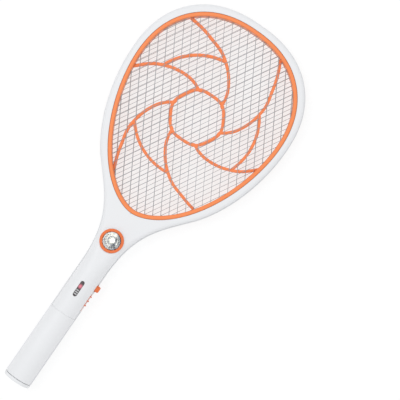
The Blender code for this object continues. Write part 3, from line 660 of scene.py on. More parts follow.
# Phosphor over a white emitter, lit: warm white, faintly mottled.
PHOSPHOR = Glow("phosphor_emitter", "led_yellow", "#FFFDF2", "#FFF8DE", 0.3, power=2.2)
# Screen-printed ink on the window: flat pale grey, slightly rough.
WINDOW_INK = MouldedPlastic("white_window_ink", "smoked_window", "#C9CACC", "#B9BABC", 0.5, grain_mm=0.4)
# Laminate of the floor: pale, matt and without pattern. It stands for no slot, since it is no part.
TABLE = TableTop("matt_white_laminate", "", "#A1A1A1", "#9F9F9F", 0.9)


class Body(Enum):
    """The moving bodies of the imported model."""

    RACKET = "racket"
    BUTTON = "push_button"
    KNOB = "slide_knob"
    GRIP = "grip"


def present(piece: Piece, name: str, finish: Finish, body: Body, *nodes: str,
            crease_deg: float | None = 32.0) -> Piece:
    """Name a finished piece, dress it, and tie it to its body.

    Args:
        piece: The finished mesh object.
        name: The piece's name.
        finish: Its surface.
        body: The body that it rides on.
        *nodes: CAD nodes that it stands for.
        crease_deg: Angle above which edges stay sharp, or None to keep the shading.

    Returns:
        The same object.
    """
    settle(piece)
    if crease_deg is not None:
        smooth(piece, crease_deg)
    piece.name = name
    piece.data.name = name
    piece.data.materials.clear()
    piece.data.materials.append(finish.material())
    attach(piece, body.value)
    if nodes:
        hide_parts(*nodes)
    LOG.info("%s: %d faces, %s", name, len(piece.data.polygons), finish.name)
    return piece


def redress(name: str, finish: Finish) -> None:
    """Give a CAD node a finished surface."""
    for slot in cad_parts[name].material_slots:
        slot.material = finish.material()
    LOG.info("%s: CAD node, %s", name, finish.name)


# ---- Outlines --------------------

@dataclass(frozen=True)
class Egg:
    """Closed outline of two half superellipses that meet at their widest line.

    Attributes:
        middle_y: Height of the widest line.
        half_width: Half the width there.
        up: Reach above it.
        down: Reach below it.
        power_up: Exponent of the upper half.
        power_down: Exponent of the lower half.
    """

    middle_y: float
    half_width: float
    up: float
    down: float
    power_up: float
    power_down: float

    def point(self, angle: float) -> Vector:
        """Point at a running angle, 0 at the right and a quarter turn at the top."""
        upper = math.sin(angle) >= 0
        power = 2 / (self.power_up if upper else self.power_down)
        reach = self.up if upper else self.down
        x = self.half_width * math.copysign(abs(math.cos(angle)) ** power, math.cos(angle))
        y = self.middle_y + reach * math.copysign(abs(math.sin(angle)) ** power, math.sin(angle))
        return Vector((x, y))

    def normal(self, angle: float) -> Vector:
        """Outward direction at a running angle."""
        step = 1e-3
        return right_of(self.point(angle + step) - self.point(angle - step))

    def offset(self, angle: float, shift: float) -> Vector:
        """Point moved outwards from the outline."""
        return self.point(angle) + self.normal(angle) * shift

    def course(self, count: int, shift: float = 0.0) -> list[Vector]:
        """Places all round the outline moved outwards by a shift."""
        return [self.offset(math.tau * i / count, shift) for i in range(count)]

    def holds(self, place: Vector, shift: float = 0.0) -> bool:
        """Whether a place lies inside the outline moved outwards by a shift."""
        rise = place.y - self.middle_y
        reach = (self.up if rise >= 0 else self.down) + shift
        power = self.power_up if rise >= 0 else self.power_down
        return abs(place.x / (self.half_width + shift)) ** power + abs(rise / reach) ** power < 1.0


HEAD_POWERS = (2.3, 1.9)
RING_POWERS = (2.25, 1.77)
HEAD_MIDDLE_Y = 145.0
HEAD_DOWN = 165.0
RING_MIDDLE_Y = 143.0


def head_egg() -> Egg:
    """Outline of the head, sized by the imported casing."""
    _, high = node_box("front_shell")
    return Egg(HEAD_MIDDLE_Y, high.x, high.y - HEAD_MIDDLE_Y, HEAD_DOWN, *HEAD_POWERS)


def ring_egg() -> Egg:
    """Outer outline of the guard ring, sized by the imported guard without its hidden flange."""
    low, high = node_box("front_guard")
    flange = 1.6
    return Egg(RING_MIDDLE_Y, high.x - flange, high.y - flange - RING_MIDDLE_Y,
               RING_MIDDLE_Y - low.y - flange, *RING_POWERS)


def right_of(along: Vector) -> Vector:
    """Unit vector to the right of a direction in the plane."""
    return Vector((along.y, -along.x)).normalized()


def eased(share: float) -> float:
    """Smooth step between 0 and 1."""
    share = min(1.0, max(0.0, share))
    return share * share * (3 - 2 * share)


def through(points: Sequence[Vector], steps: int) -> list[Vector]:
    """Smooth course through some points.

    Args:
        points: Places in the plane.
        steps: Steps between neighbouring points.

    Returns:
        Places along the course.
    """
    last = len(points) - 1
    course = []
    for i in range(last):
        a, b, c, d = (points[min(last, max(0, i + k))] for k in (-1, 0, 1, 2))
        for k in range(steps):
            t = k / steps
            course.append(0.5 * (2 * b + (c - a) * t + (2 * a - 5 * b + 4 * c - d) * t * t
                                 + (3 * b - a - 3 * c + d) * t ** 3))
    return [*course, points[-1].copy()]


def band(course: Sequence[Vector], profile: Sequence[Point]) -> Piece:
    """Closed band: a torus reshaped so that its section follows a closed course.

    Args:
        course: Places round the band, anticlockwise, in millimetres.
        profile: (outward offset, height) points of the section, outside first and then over the top.

    Returns:
        The new object.
    """
    count, around = len(course), len(profile)
    deselect()
    bpy.ops.mesh.primitive_torus_add(major_segments=count, minor_segments=around, major_radius=1.0,
                                     minor_radius=0.25)
    outwards = [right_of(course[(i + 1) % count] - course[i - 1]) for i in range(count)]

    def place(co: Vector) -> tuple[float, float, float]:
        """Carry a torus point to the band."""
        i = round(math.atan2(co.y, co.x) / (math.tau) * count) % count
        j = round(math.atan2(co.z, math.hypot(co.x, co.y) - 1.0) / (math.tau) * around) % around
        spot = course[i] + outwards[i] * profile[j][0]
        return spot.x * MM, spot.y * MM, profile[j][1] * MM

    return clean(warp(bpy.context.object, place))


def bar(course: Sequence[Vector], width: float, low_z: float, high_z: float, ease: float) -> Piece:
    """Open bar: a long box with eased upper edges, divided along its length and laid along a course.

    Args:
        course: Places along the middle of the bar, in millimetres.
        width: Width of the bar.
        low_z: Height of its underside.
        high_z: Height of its upper side.
        ease: Radius of the upper long edges.

    Returns:
        The new object.
    """
    count = len(course) - 1
    deselect()
    bpy.ops.mesh.primitive_cube_add(size=1.0, location=(0, 0.5, (low_z + high_z) / 2 * MM),
                                    scale=(width * MM, 1.0, (high_z - low_z) * MM))
    piece = settle(bpy.context.object)

    def lengthwise(edge: bmesh.types.BMEdge) -> bool:
        """Whether an edge runs along the bar."""
        return abs(edge.verts[0].co.y - edge.verts[1].co.y) > 0.5

    with editing(piece) as mesh:
        choose_edges(mesh, lambda e: lengthwise(e) and e.verts[0].co.z > (low_z + high_z) / 2 * MM)
        bpy.ops.mesh.bevel(offset=ease * MM, segments=4, affect="EDGES")
    with editing(piece) as mesh:
        choose_edges(mesh, lengthwise)
        bpy.ops.mesh.subdivide(number_cuts=count - 1)
    across = [right_of(course[min(count, i + 1)] - course[max(0, i - 1)]) for i in range(count + 1)]

    def place(co: Vector) -> tuple[float, float, float]:
        """Carry a point of the straight bar to its course."""
        i = min(count, max(0, round(co.y * count)))
        spot = course[i] * MM + across[i] * co.x
        return spot.x, spot.y, co.z

    return clean(warp(piece, place), 0.0005)


def copy_of(piece: Piece) -> Piece:
    """Copy of a piece with its own mesh."""
    pick(piece)
    bpy.ops.object.duplicate()
    return bpy.context.object


def flipped(piece: Piece) -> Piece:
    """Mirror a piece in the parting plane and turn its faces outwards again."""
    warp(piece, lambda co: (co.x, co.y, 2 * PARTING_Z * MM - co.z))
    return clean(piece, 0.0001)


def present_twins(piece: Piece, name: str, finish: Finish, node: str) -> None:
    """Present a front piece of the racket together with its mirrored twin at the rear.

    Args:
        piece: The front piece.
        name: Both pieces' name without front or rear.
        finish: Their surface.
        node: The CAD nodes' name without front or rear.
    """
    twin = flipped(copy_of(piece))
    for side, each in (("front", piece), ("rear", twin)):
        present(each, f"{side}_{name}", finish, Body.RACKET, f"{side}_{node}", crease_deg=40)


# ---- Sub-assemblies --------------------

@dataclass
class Casing:
    """Two white shells that meet on the parting plane.

    Attributes:
        gap: Half the gap on the parting plane.
        wall: Wall thickness.
        handle_radius: Radius of the handle.
        lower_y: Lower end of the shells.
        neck_y: Where the handle starts to widen.
        flat_from_y: Where the section starts to get thinner.
        flat_to_y: Where the section has its head thickness.
        head_half: Half the thickness of the head.
        edge_head: Edge radius at the head.
        edge_handle: Edge radius at the handle.
        head: Outline of the head.
        ring: Outline of the guard ring.
        seat_radius: Radius of the lamp's seat.
        seat_z: Height of that seat.
        ledge: How far the front shell stays back from the rear one all round.
    """

    gap: float = 0.15
    wall: float = 2.0
    handle_radius: float = 17.0
    lower_y: float = -153.44
    neck_y: float = -92.0
    flat_from_y: float = -108.0
    flat_to_y: float = -22.0
    head_half: float = 10.0
    edge_head: float = 4.0
    edge_handle: float = 16.6
    head: Egg = field(default_factory=head_egg)
    ring: Egg = field(default_factory=ring_egg)
    seat_radius: float = 14.5
    seat_z: float = 30.0
    ledge: float = 1.3

    def thinning(self, y: float) -> float:
        """Share of the way from handle section to head section."""
        return eased((y - self.flat_from_y) / (self.flat_to_y - self.flat_from_y))

    def half_thickness(self, y: float) -> float:
        """Half the thickness at a height."""
        return self.handle_radius + (self.head_half - self.handle_radius) * self.thinning(y)

    def stations(self) -> list[tuple[Vector, Vector]]:
        """Places on the right-hand outline with their inward directions, from the seam to the crown."""
        join = math.asin(-((self.head.middle_y - 21.0) / self.head.down) ** (self.head.power_down / 2))
        joint = self.head.point(join)
        places = [Vector((self.handle_radius, self.lower_y + (self.neck_y - self.lower_y) * i / 24))
                  for i in range(24)]
        knots = [Vector((self.handle_radius, self.neck_y)), Vector((self.handle_radius, -32.0)),
                 Vector((37.75, -14.4)), joint]
        for i in range(48):
            t = i / 48
            places.append(knots[0] * (1 - t) ** 3 + knots[1] * 3 * t * (1 - t) ** 2
                          + knots[2] * 3 * t * t * (1 - t) + knots[3] * t ** 3)
        places += [self.head.point(join + (math.pi / 2 - join) * i / 120) for i in range(121)]
        found = []
        for i, place in enumerate(places):
            inward = -right_of(places[min(len(places) - 1, i + 1)] - places[max(0, i - 1)])
            found.append((place, inward if i < len(places) - 1 else Vector((0.0, -1.0))))
        return found

    def reach(self, place: Vector, inward: Vector) -> float:
        """How far the skin runs inwards: to the middle line, or just inside the guard opening."""
        step, distance = 0.25, 0.0
        while distance < 140.0:
            spot = place + inward * distance
            if spot.x <= 0.0 and place.x > 0.01:
                return place.x / -inward.x
            if self.ring.holds(spot, -1.5):
                return distance
            distance += step
        return distance

    def skin(self, inset: float = 0.0) -> Piece:
        """Outer surface of the front half with its wall: a grid laid over the outline and thickened."""
        stations = [(place + inward * inset, inward) for place, inward in self.stations()]
        reaches = [self.reach(*station) for station in stations]
        rising, rounding, level = 2, 14, 8
        rows = rising + rounding + level + 1
        columns = len(stations)
        deselect()
        bpy.ops.mesh.primitive_grid_add(x_subdivisions=columns - 1, y_subdivisions=rows - 1, size=2.0)
        piece = bpy.context.object
        assert len(piece.data.vertices) == columns * rows, len(piece.data.vertices)

        def place(co: Vector) -> tuple[float, float, float]:
            """Carry a grid point to the casing's surface."""
            i = round((co.x + 1) / 2 * (columns - 1))
            j = round((co.y + 1) / 2 * (rows - 1))
            start, inward = stations[i]
            radius = self.edge_handle + (self.edge_head - self.edge_handle) * self.thinning(start.y)
            radius = min(radius, reaches[i] * 0.985)
            foot = self.half_thickness(start.y) - radius
            if j <= rising:
                gap = min(self.gap + inset * 0.5, foot)
                spot, rise = start, gap + (foot - gap) * j / rising
            elif j <= rising + rounding:
                turn = math.pi / 2 * (j - rising) / rounding
                spot = start + inward * radius * (1 - math.cos(turn))
                rise = self.half_thickness(spot.y) - radius + radius * math.sin(turn)
            else:
                share = (j - rising - rounding) / level
                spot = start + inward * (radius + (reaches[i] - radius) * share)
                rise = self.half_thickness(spot.y)
            x = 0.0 if abs(spot.x) < 0.01 or i == columns - 1 else spot.x
            return x * MM, spot.y * MM, (PARTING_Z + rise) * MM

        warp(piece, place)
        modify(piece, "MIRROR", use_clip=True, merge_threshold=0.00002)
        modify(piece, "SOLIDIFY", thickness=self.wall * MM, offset=-1.0, use_even_offset=True)
        clean(piece, 0.0005)
        opening = plug(self.ring.course(200, 0.3), PARTING_Z + 2, PARTING_Z + 20)
        return combine(piece, "DIFFERENCE", opening)

    def front(self) -> None:
        """Front shell with the lamp seat, the window slot and the side cut-outs."""
        shell = self.skin(self.ledge)
        lamp, r, seat = (0, LAMP_Y, 0), self.seat_radius, self.seat_z
        combine(shell, "UNION", turned([(0, 26.9), (r, 26.9), *arc((r - 0.3, seat - 0.3), 0.3, 0, 90, 3),
                                        (0, seat)], lamp, 2, 96))
        combine(shell, "DIFFERENCE", rod(r + 0.3, seat, 45, lamp, 2, 96), rod(10.9, 20.0, 45, lamp, 2, 96),
                block((-2.5, -130.15, 26), (2.5, -109.65, 45), corner_mm=2.48, corner_axis=2))
        self.side_cuts(shell)
        present(shell, "front_shell_skin", WHITE_ABS, Body.RACKET, "front_shell")

    def side_cuts(self, shell: Piece) -> None:
        """Cut the push button hole and the slide plate's seat, and ease the cut edges."""
        combine(shell, "DIFFERENCE",
                block((9.0, -115.0, 13.15), (22.0, -105.0, 20.85), corner_mm=3.0, corner_axis=0),
                block((13.0, -141.7, 12.7), (22.0, -118.3, 21.3), corner_mm=0.8, corner_axis=0,
                      corner_steps=4))
        modify(shell, "BEVEL", width=0.22 * MM, segments=2, limit_method="ANGLE",
               angle_limit=math.radians(55), use_clamp_overlap=True)

    def screw_places(self) -> list[tuple[Vector, float]]:
        """Middles of the seven screws with the heights of their seats."""
        places = [(self.ring.offset(math.tau * i / 48, 4.5), 10.6) for i in (6, 18, 28, 44)]
        for x, y in ((22.0, -27.0), (-22.0, -27.0), (0.0, -71.5)):
            places.append((Vector((x, y)), PARTING_Z - self.half_thickness(y) + 3.2))
        return places

    def rear(self) -> None:
        """Rear shell: the mirrored skin with screw seats."""
        shell = flipped(self.skin())
        for place, seat in self.screw_places():
            inner = PARTING_Z - self.half_thickness(place.y) + 1.3
            combine(shell, "UNION", rod(3.0, inner, 16.8, (*place, 0), 2))
            combine(shell, "DIFFERENCE", rod(2.1, -2, seat, (*place, 0), 2))
        self.side_cuts(shell)
        present(shell, "rear_shell_skin", WHITE_ABS, Body.RACKET, "rear_shell")

    def screws(self) -> None:
        """Seven pan-head screws with a cross recess, one modelled and the rest copied."""
        head = turned([(0, -1.6), (1.0, -1.55), *arc((1.2, -1.0), 0.6, -80, 0, 5), (1.8, -0.3), (0.9, -0.3),
                       (0.9, 3.0), (0, 3.0)], (0, 0, 0), 2, 32)
        for size in ((0.95, 0.22), (0.22, 0.95)):
            combine(head, "DIFFERENCE", block((-size[0], -size[1], -2.5), (size[0], size[1], -0.95)))
        for i, (place, seat) in enumerate(self.screw_places(), start=1):
            screw = copy_of(head)
            turn = math.radians(37.0 * i)
            warp(screw, lambda co: (co.x * math.cos(turn) - co.y * math.sin(turn) + place.x * MM,
                                    co.x * math.sin(turn) + co.y * math.cos(turn) + place.y * MM,
                                    co.z + seat * MM))
            present(screw, f"cross_screw_{i}", NICKEL_STEEL, Body.RACKET, f"casing_screw_{i}")
        bpy.data.objects.remove(head, do_unlink=True)

    def build(self) -> None:
        """Build both shells and their screws."""
        self.front()
        self.rear()
        self.screws()


def plug(outline: Sequence[Vector], low_z: float, high_z: float) -> Piece:
    """Upright block with any outline, from a cylinder whose rim is reshaped.

    Args:
        outline: Places round the block, anticlockwise, in millimetres.
        low_z: Height of the bottom.
        high_z: Height of the top.

    Returns:
        The new object.
    """
    count = len(outline)
    deselect()
    bpy.ops.mesh.primitive_cylinder_add(vertices=count, radius=1.0, depth=2.0, end_fill_type="NGON")

    def place(co: Vector) -> tuple[float, float, float]:
        """Carry a rim point to the outline."""
        spot = outline[round(math.atan2(co.y, co.x) / (math.tau) * count) % count]
        return spot.x * MM, spot.y * MM, (low_z if co.z < 0 else high_z) * MM

    return clean(warp(bpy.context.object, place), 0.0005)


@dataclass
class Guard:
    """Orange ring on each face that holds the outer net in the casing.

    Attributes:
        outline: Outer outline of the ring.
        ring_width: Width of the ring.
        ease: Radius of its face edges.
        flange: Reach of the hidden flange under the casing's lip.
        flange_z: Top of the flange.
    """

    outline: Egg = field(default_factory=ring_egg)
    ring_width: float = 4.6
    ease: float = 1.3
    flange: float = 1.6
    flange_z: float = 24.4

    def build(self) -> None:
        """Build the front ring and its mirrored twin."""
        low, high = node_box("front_guard")
        width, ease, crown = self.ring_width, self.ease, high.z - self.ease
        profile = [(0.0, crown - 0.1), *arc((-ease, crown), ease, 8, 90, 6),
                   *arc((ease - width, crown), ease, 90, 172, 6), (-width, crown - 0.1),
                   (-width, low.z), (self.flange, low.z), (self.flange, self.flange_z), (0.0, self.flange_z)]
        present_twins(band(self.outline.course(288), profile), "guard_ring", ORANGE_ABS, "guard")


@dataclass
class Rimmed:
    """What the rib frames and the nets have in common: a flat rim held under the guard ring.

    Attributes:
        outline: Outline that the rim follows.
        rim_out: Reach of the rim outside the outline.
        rim_in: Reach of the rim inside it.
    """

    outline: Egg = field(default_factory=ring_egg)
    rim_out: float = 1.6
    rim_in: float = 4.6


@dataclass
class RibFrame(Rimmed):
    """Orange frame between two nets: a flat rim with a pinwheel of six curved ribs round a six-sided hub.

    Attributes:
        rib_width: Width of a rib.
        rib_inset: How far a rib stays back from both nets' sides of the rim.
        ease: Radius of a rib's upper edges.
        link_radius: Radius of the three linking arcs about the hub.
    """

    rib_width: float = 3.5
    rib_inset: float = 0.4
    ease: float = 0.9
    link_radius: float = 72.4

    def polar(self, radius: float, degrees: float) -> Vector:
        """Place about the hub."""
        turn = math.radians(degrees)
        return Vector((radius * math.cos(turn), HUB_Y + radius * math.sin(turn)))

    def arm(self, turn: float) -> list[Vector]:
        """Course of one rib from the hub into the rim."""
        swings = ((31.6, -43.0), (32.3, -36.5), (40.0, -29.0), (49.4, -20.0), (61.5, -9.0), (72.4, 0.0),
                  (81.8, 7.4), (92.3, 16.5), (104.0, 24.0), (117.7, 32.0), (132.0, 39.0), (150.0, 46.0))
        course = through([self.polar(radius, 37.0 + turn + swing) for radius, swing in swings], 6)
        return [spot for spot in course if self.outline.holds(spot, -self.rim_in / 2)]

    def build(self) -> None:
        """Build the front frame and its mirrored twin."""
        base, crown = (corner.z for corner in node_box("front_spacer"))
        outer, inner = self.rim_out, -self.rim_in
        rim = band(self.outline.course(240), [(outer, base), (outer, crown), (inner + 0.3, crown),
                                              (inner, crown - 0.3), (inner, base)])
        half, low, high, ease = self.rib_width / 2, base + self.rib_inset, crown - self.rib_inset, self.ease
        section = [(half, high - ease), *arc((half - ease, high - ease), ease, 20, 90, 3),
                   *arc((ease - half, high - ease), ease, 90, 160, 3), (-half, high - ease), (-half, low),
                   (half, low)]
        hub = [self.polar(31.5 + 0.8 * math.cos(math.radians(6 * (turn - 0.5))), turn)
               for turn in range(0, 360, 3)]
        ribs = [band(hub, section)]
        for k in range(6):
            ribs.append(bar(self.arm(60.0 * k), self.rib_width, low + 0.03, high - 0.04, ease))
        for start, end in ((98.0, 157.0), (-21.5, 36.0), (-143.0, -83.0)):
            link = [self.polar(self.link_radius, start + (end - start) * i / 24) for i in range(25)]
            ribs.append(bar(link, self.rib_width, low + 0.06, high - 0.08, ease))
        present_twins(combine(rim, "UNION", *ribs), "rib_frame", RIB_ABS, "spacer")


@dataclass
class NetStack(Rimmed):
    """Three wire nets in stamped rims, their pattern centred on the hub.

    Attributes:
        tilt_deg: Slant of the wires from the long axis.
        pitch_mm: Distance between neighbouring wires of a row.
        wire_mm: Width of a wire.
    """

    tilt_deg: float = 30.0
    pitch_mm: float = 9.4
    wire_mm: float = 0.6

    def wires(self, angle_deg: float, shift: float, low_z: float) -> list[Piece]:
        """Straight parallel wires clipped to the rim.

        Args:
            angle_deg: Slant from the long axis.
            shift: Share of a pitch that the row is moved by.
            low_z: Underside of the wires.

        Returns:
            One object for each wire.
        """
        turn = math.radians(angle_deg)
        along = Vector((math.sin(turn), math.cos(turn)))
        across = Vector((along.y, -along.x))
        pitch, half, made = self.pitch_mm, self.wire_mm / 2, []
        rows = int(150 / pitch)
        for i in range(-rows, rows + 1):
            middle = Vector((0.0, HUB_Y)) + across * (i + shift) * pitch
            ends = [t for t in range(-200, 201) if self.outline.holds(middle + along * t, -2.5)]
            if len(ends) < 4:
                continue
            centre = ((middle + along * ends[0]) + (middle + along * ends[-1])) / 2
            deselect()
            bpy.ops.mesh.primitive_cylinder_add(vertices=6, radius=half * MM, depth=(ends[-1] - ends[0]) * MM,
                                                location=(centre.x * MM, centre.y * MM, (low_z + half) * MM),
                                                rotation=(math.pi / 2, 0.0, -turn))
            made.append(settle(bpy.context.object))
        return made

    def net(self, name: str, shifts: Point, tab_x: float) -> None:
        """Build one net with its rim and soldering tab.

        Args:
            name: The CAD node that it stands for.
            shifts: Shares of a pitch that the right- and left-leaning rows are moved by.
            tab_x: Middle of the tab.
        """
        low, high = node_box(name)
        net = band(self.outline.course(160), [(self.rim_out, high.z), (-self.rim_in, high.z),
                                              (-self.rim_in, low.z), (self.rim_out, low.z)])
        wires = []
        for i, (angle, shift) in enumerate(zip((self.tilt_deg, -self.tilt_deg), shifts)):
            wires += self.wires(angle, shift, low.z + 0.1 + 0.25 * i)
        tab = block((tab_x - 2.0, -21.0, low.z + 0.1), (tab_x + 2.0, -14.0, high.z - 0.1), edge_mm=0.15)
        present(merge(net, tab, *wires), name + "_woven", NET_STEEL, Body.RACKET, name, crease_deg=50)

    def build(self) -> None:
        """Build the three nets, front to rear."""
        self.net("front_net", (0.5, 0.5), 10.0)
        self.net("centre_net", (0.0, 0.5), 0.0)
        self.net("rear_net", (0.5, 0.5), -10.0)


@dataclass
class Lamp:
    """Lamp in the neck: bezel, lens, faceted reflector and emitter.

    Attributes:
        lens_radius: Radius of the lens.
        bezel_radius: Outer radius of the bezel.
        bowl_facets: Facets round the reflector.
    """

    lens_radius: float = 10.5
    bezel_radius: float = 14.2
    bowl_facets: int = 18

    def build(self) -> None:
        """Build the lamp's pieces."""
        axis, r, outer = (0.0, LAMP_Y, 0.0), self.lens_radius, self.bezel_radius
        bezel = turned([(r + 0.3, 30.3), (outer, 30.3), (outer, 30.8),
                        *arc((outer - 0.9, 30.8), 0.9, 0, 90, 6), *arc((r + 1.1, 30.9), 0.8, 90, 180, 6)],
                       axis, 2, 96)
        present(bezel, "lamp_bezel_ring", ORANGE_KEY, Body.RACKET, "lamp_bezel", crease_deg=40)
        lens = turned([(0, 30.1), (r, 30.1), (r, 30.8), (r - 0.3, 31.05), (r * 0.8, 31.15), (r * 0.5, 31.25),
                       (0, 31.3)], axis, 2, 96)
        present(lens, "lamp_lens_dome", CLEAR, Body.RACKET, "lamp_lens", crease_deg=40)
        bowl = turned([(3.2, 20.8), (4.0, 20.8), (6.4, 22.6), (8.4, 25.4), (10.2, 28.6), (10.2, 29.6),
                       (9.4, 29.6), (9.4, 28.9), (7.7, 25.8), (5.8, 23.1)], axis, 2, self.bowl_facets)
        present(bowl, "lamp_reflector_bowl", PLATED_BOWL, Body.RACKET, "lamp_reflector", crease_deg=8)
        chip = turned([(0, 18.8), (2.6, 18.8), (2.6, 19.7), (2.0, 19.8), *arc((0.0, 19.8), 1.9, 5, 90, 6)],
                      axis, 2, 32)
        present(chip, "lamp_emitter_dome", PHOSPHOR, Body.RACKET, "lamp_led")


@dataclass
class Controls:
    """Indicator window, push button and slide switch.

    Attributes:
        button_y: Middle of the push button.
        knob_y: Middle of the slide knob.
        mark_ys: Middles of the window's three level marks.
        mark_half: Half the length and half the height of a mark.
        cap_x: Inner end and face of the push button.
        cap_half: Half the button's length along the handle and half its width.
        plate_x: Face of the slide plate.
        rib_pitch: Distance between the knob's ribs.
    """

    button_y: float = -110.0
    knob_y: float = -127.5
    mark_ys: tuple[float, ...] = (-122.0, -124.5, -127.0)
    mark_half: Point = (1.75, 0.65)
    cap_x: Point = (11.0, 20.8)
    cap_half: Point = (3.9, 3.5)
    plate_x: float = 15.2
    rib_pitch: float = 5.95

    def window(self) -> None:
        """Smoked strip with the charge lamp's light painted on it as a glow, and three plain level marks."""
        low, high = node_box("indicator_window")
        low, high = low + Vector((0.5, 1.1, 0)), high + Vector((-0.5, 0.5, 0))
        lamp_low, lamp_high = node_box("indicator_led_1")
        lamp = (lamp_low + lamp_high) / 2
        lamp.z = high.z
        finish = SmokedWindow("smoked_acrylic", "smoked_window", "#574F51", "#443E3F", 0.16, lamp=tuple(lamp))
        strip = block(low, high, edge_mm=0.3, corner_mm=(high.x - low.x) / 2 - 0.02, corner_axis=2)
        present(strip, "indicator_window_strip", finish, Body.RACKET, "indicator_window")
        x, rise = self.mark_half
        marks = [block((-x, y - rise, high.z - 0.1), (x, y + rise, high.z + 0.04), edge_mm=0.03)
                 for y in self.mark_ys]
        present(merge(*marks), "indicator_level_marks", WINDOW_INK, Body.RACKET)

    def button(self) -> None:
        """Push button: a pill with a dished face, its flange and its stem."""
        y, z, (inner, face), (long, wide) = self.button_y, PARTING_Z, self.cap_x, self.cap_half
        cap = block((inner, y - long, z - wide), (face, y + long, z + wide), edge_mm=2.4, segments=6,
                    corner_mm=3.4, corner_axis=0, corner_steps=10)
        hollow = [(r * 3.0, 30.0 - math.sqrt(900 - 9 * r * r) - 0.45) for r in (0, 0.4, 0.8, 1.0)]
        dish = turned([*hollow, (3.0, 5.0), (0, 5.0)], (face, y, z), 0, 48)
        combine(cap, "DIFFERENCE", dish)
        flange = block((12.2, y - 5.4, z - 4.2), (13.2, y + 5.4, z + 4.2), edge_mm=0.15, corner_mm=3.6,
                       corner_axis=0)
        combine(cap, "UNION", flange, rod(1.2, 5.6, 11.5, (0, y, z), 0, 24))
        present(cap, "zap_button_cap", ORANGE_KEY, Body.BUTTON, "zap_button")

    def slide(self) -> None:
        """Slide switch: fixed plate with its slot, and the ribbed knob."""
        low, high = node_box("switch_plate")
        high.x = self.plate_x
        plate = block(low, high, edge_mm=0.1, corner_mm=0.8, corner_axis=0, corner_steps=4)
        y = self.knob_y
        combine(plate, "DIFFERENCE", block((14.0, y - 7.6, 15.0), (19.0, y + 2.6, 19.0), corner_mm=1.0,
                                           corner_axis=0))
        present(plate, "switch_plate_inlay", ORANGE_KEY, Body.RACKET, "switch_plate")
        low, high = node_box("mode_knob")
        knob = block((15.25, low.y, low.z), (15.65, high.y, high.z), edge_mm=0.12, corner_mm=1.2,
                     corner_axis=0)
        ribs = [block((15.5, y + shift - 0.5, 14.9), (high.x - 0.7, y + shift + 0.5, 19.1), edge_mm=0.2)
                for shift in (-self.rib_pitch, 0.0, self.rib_pitch)]
        stem = block((low.x, y - 2.0, 15.4), (15.5, y + 2.0, 18.6), edge_mm=0.2)
        combine(knob, "UNION", *ribs, stem)
        present(knob, "mode_knob_cap", ORANGE_KEY, Body.KNOB, "mode_knob")

    def build(self) -> None:
        """Build all controls."""
        self.window()
        self.button()
        self.slide()


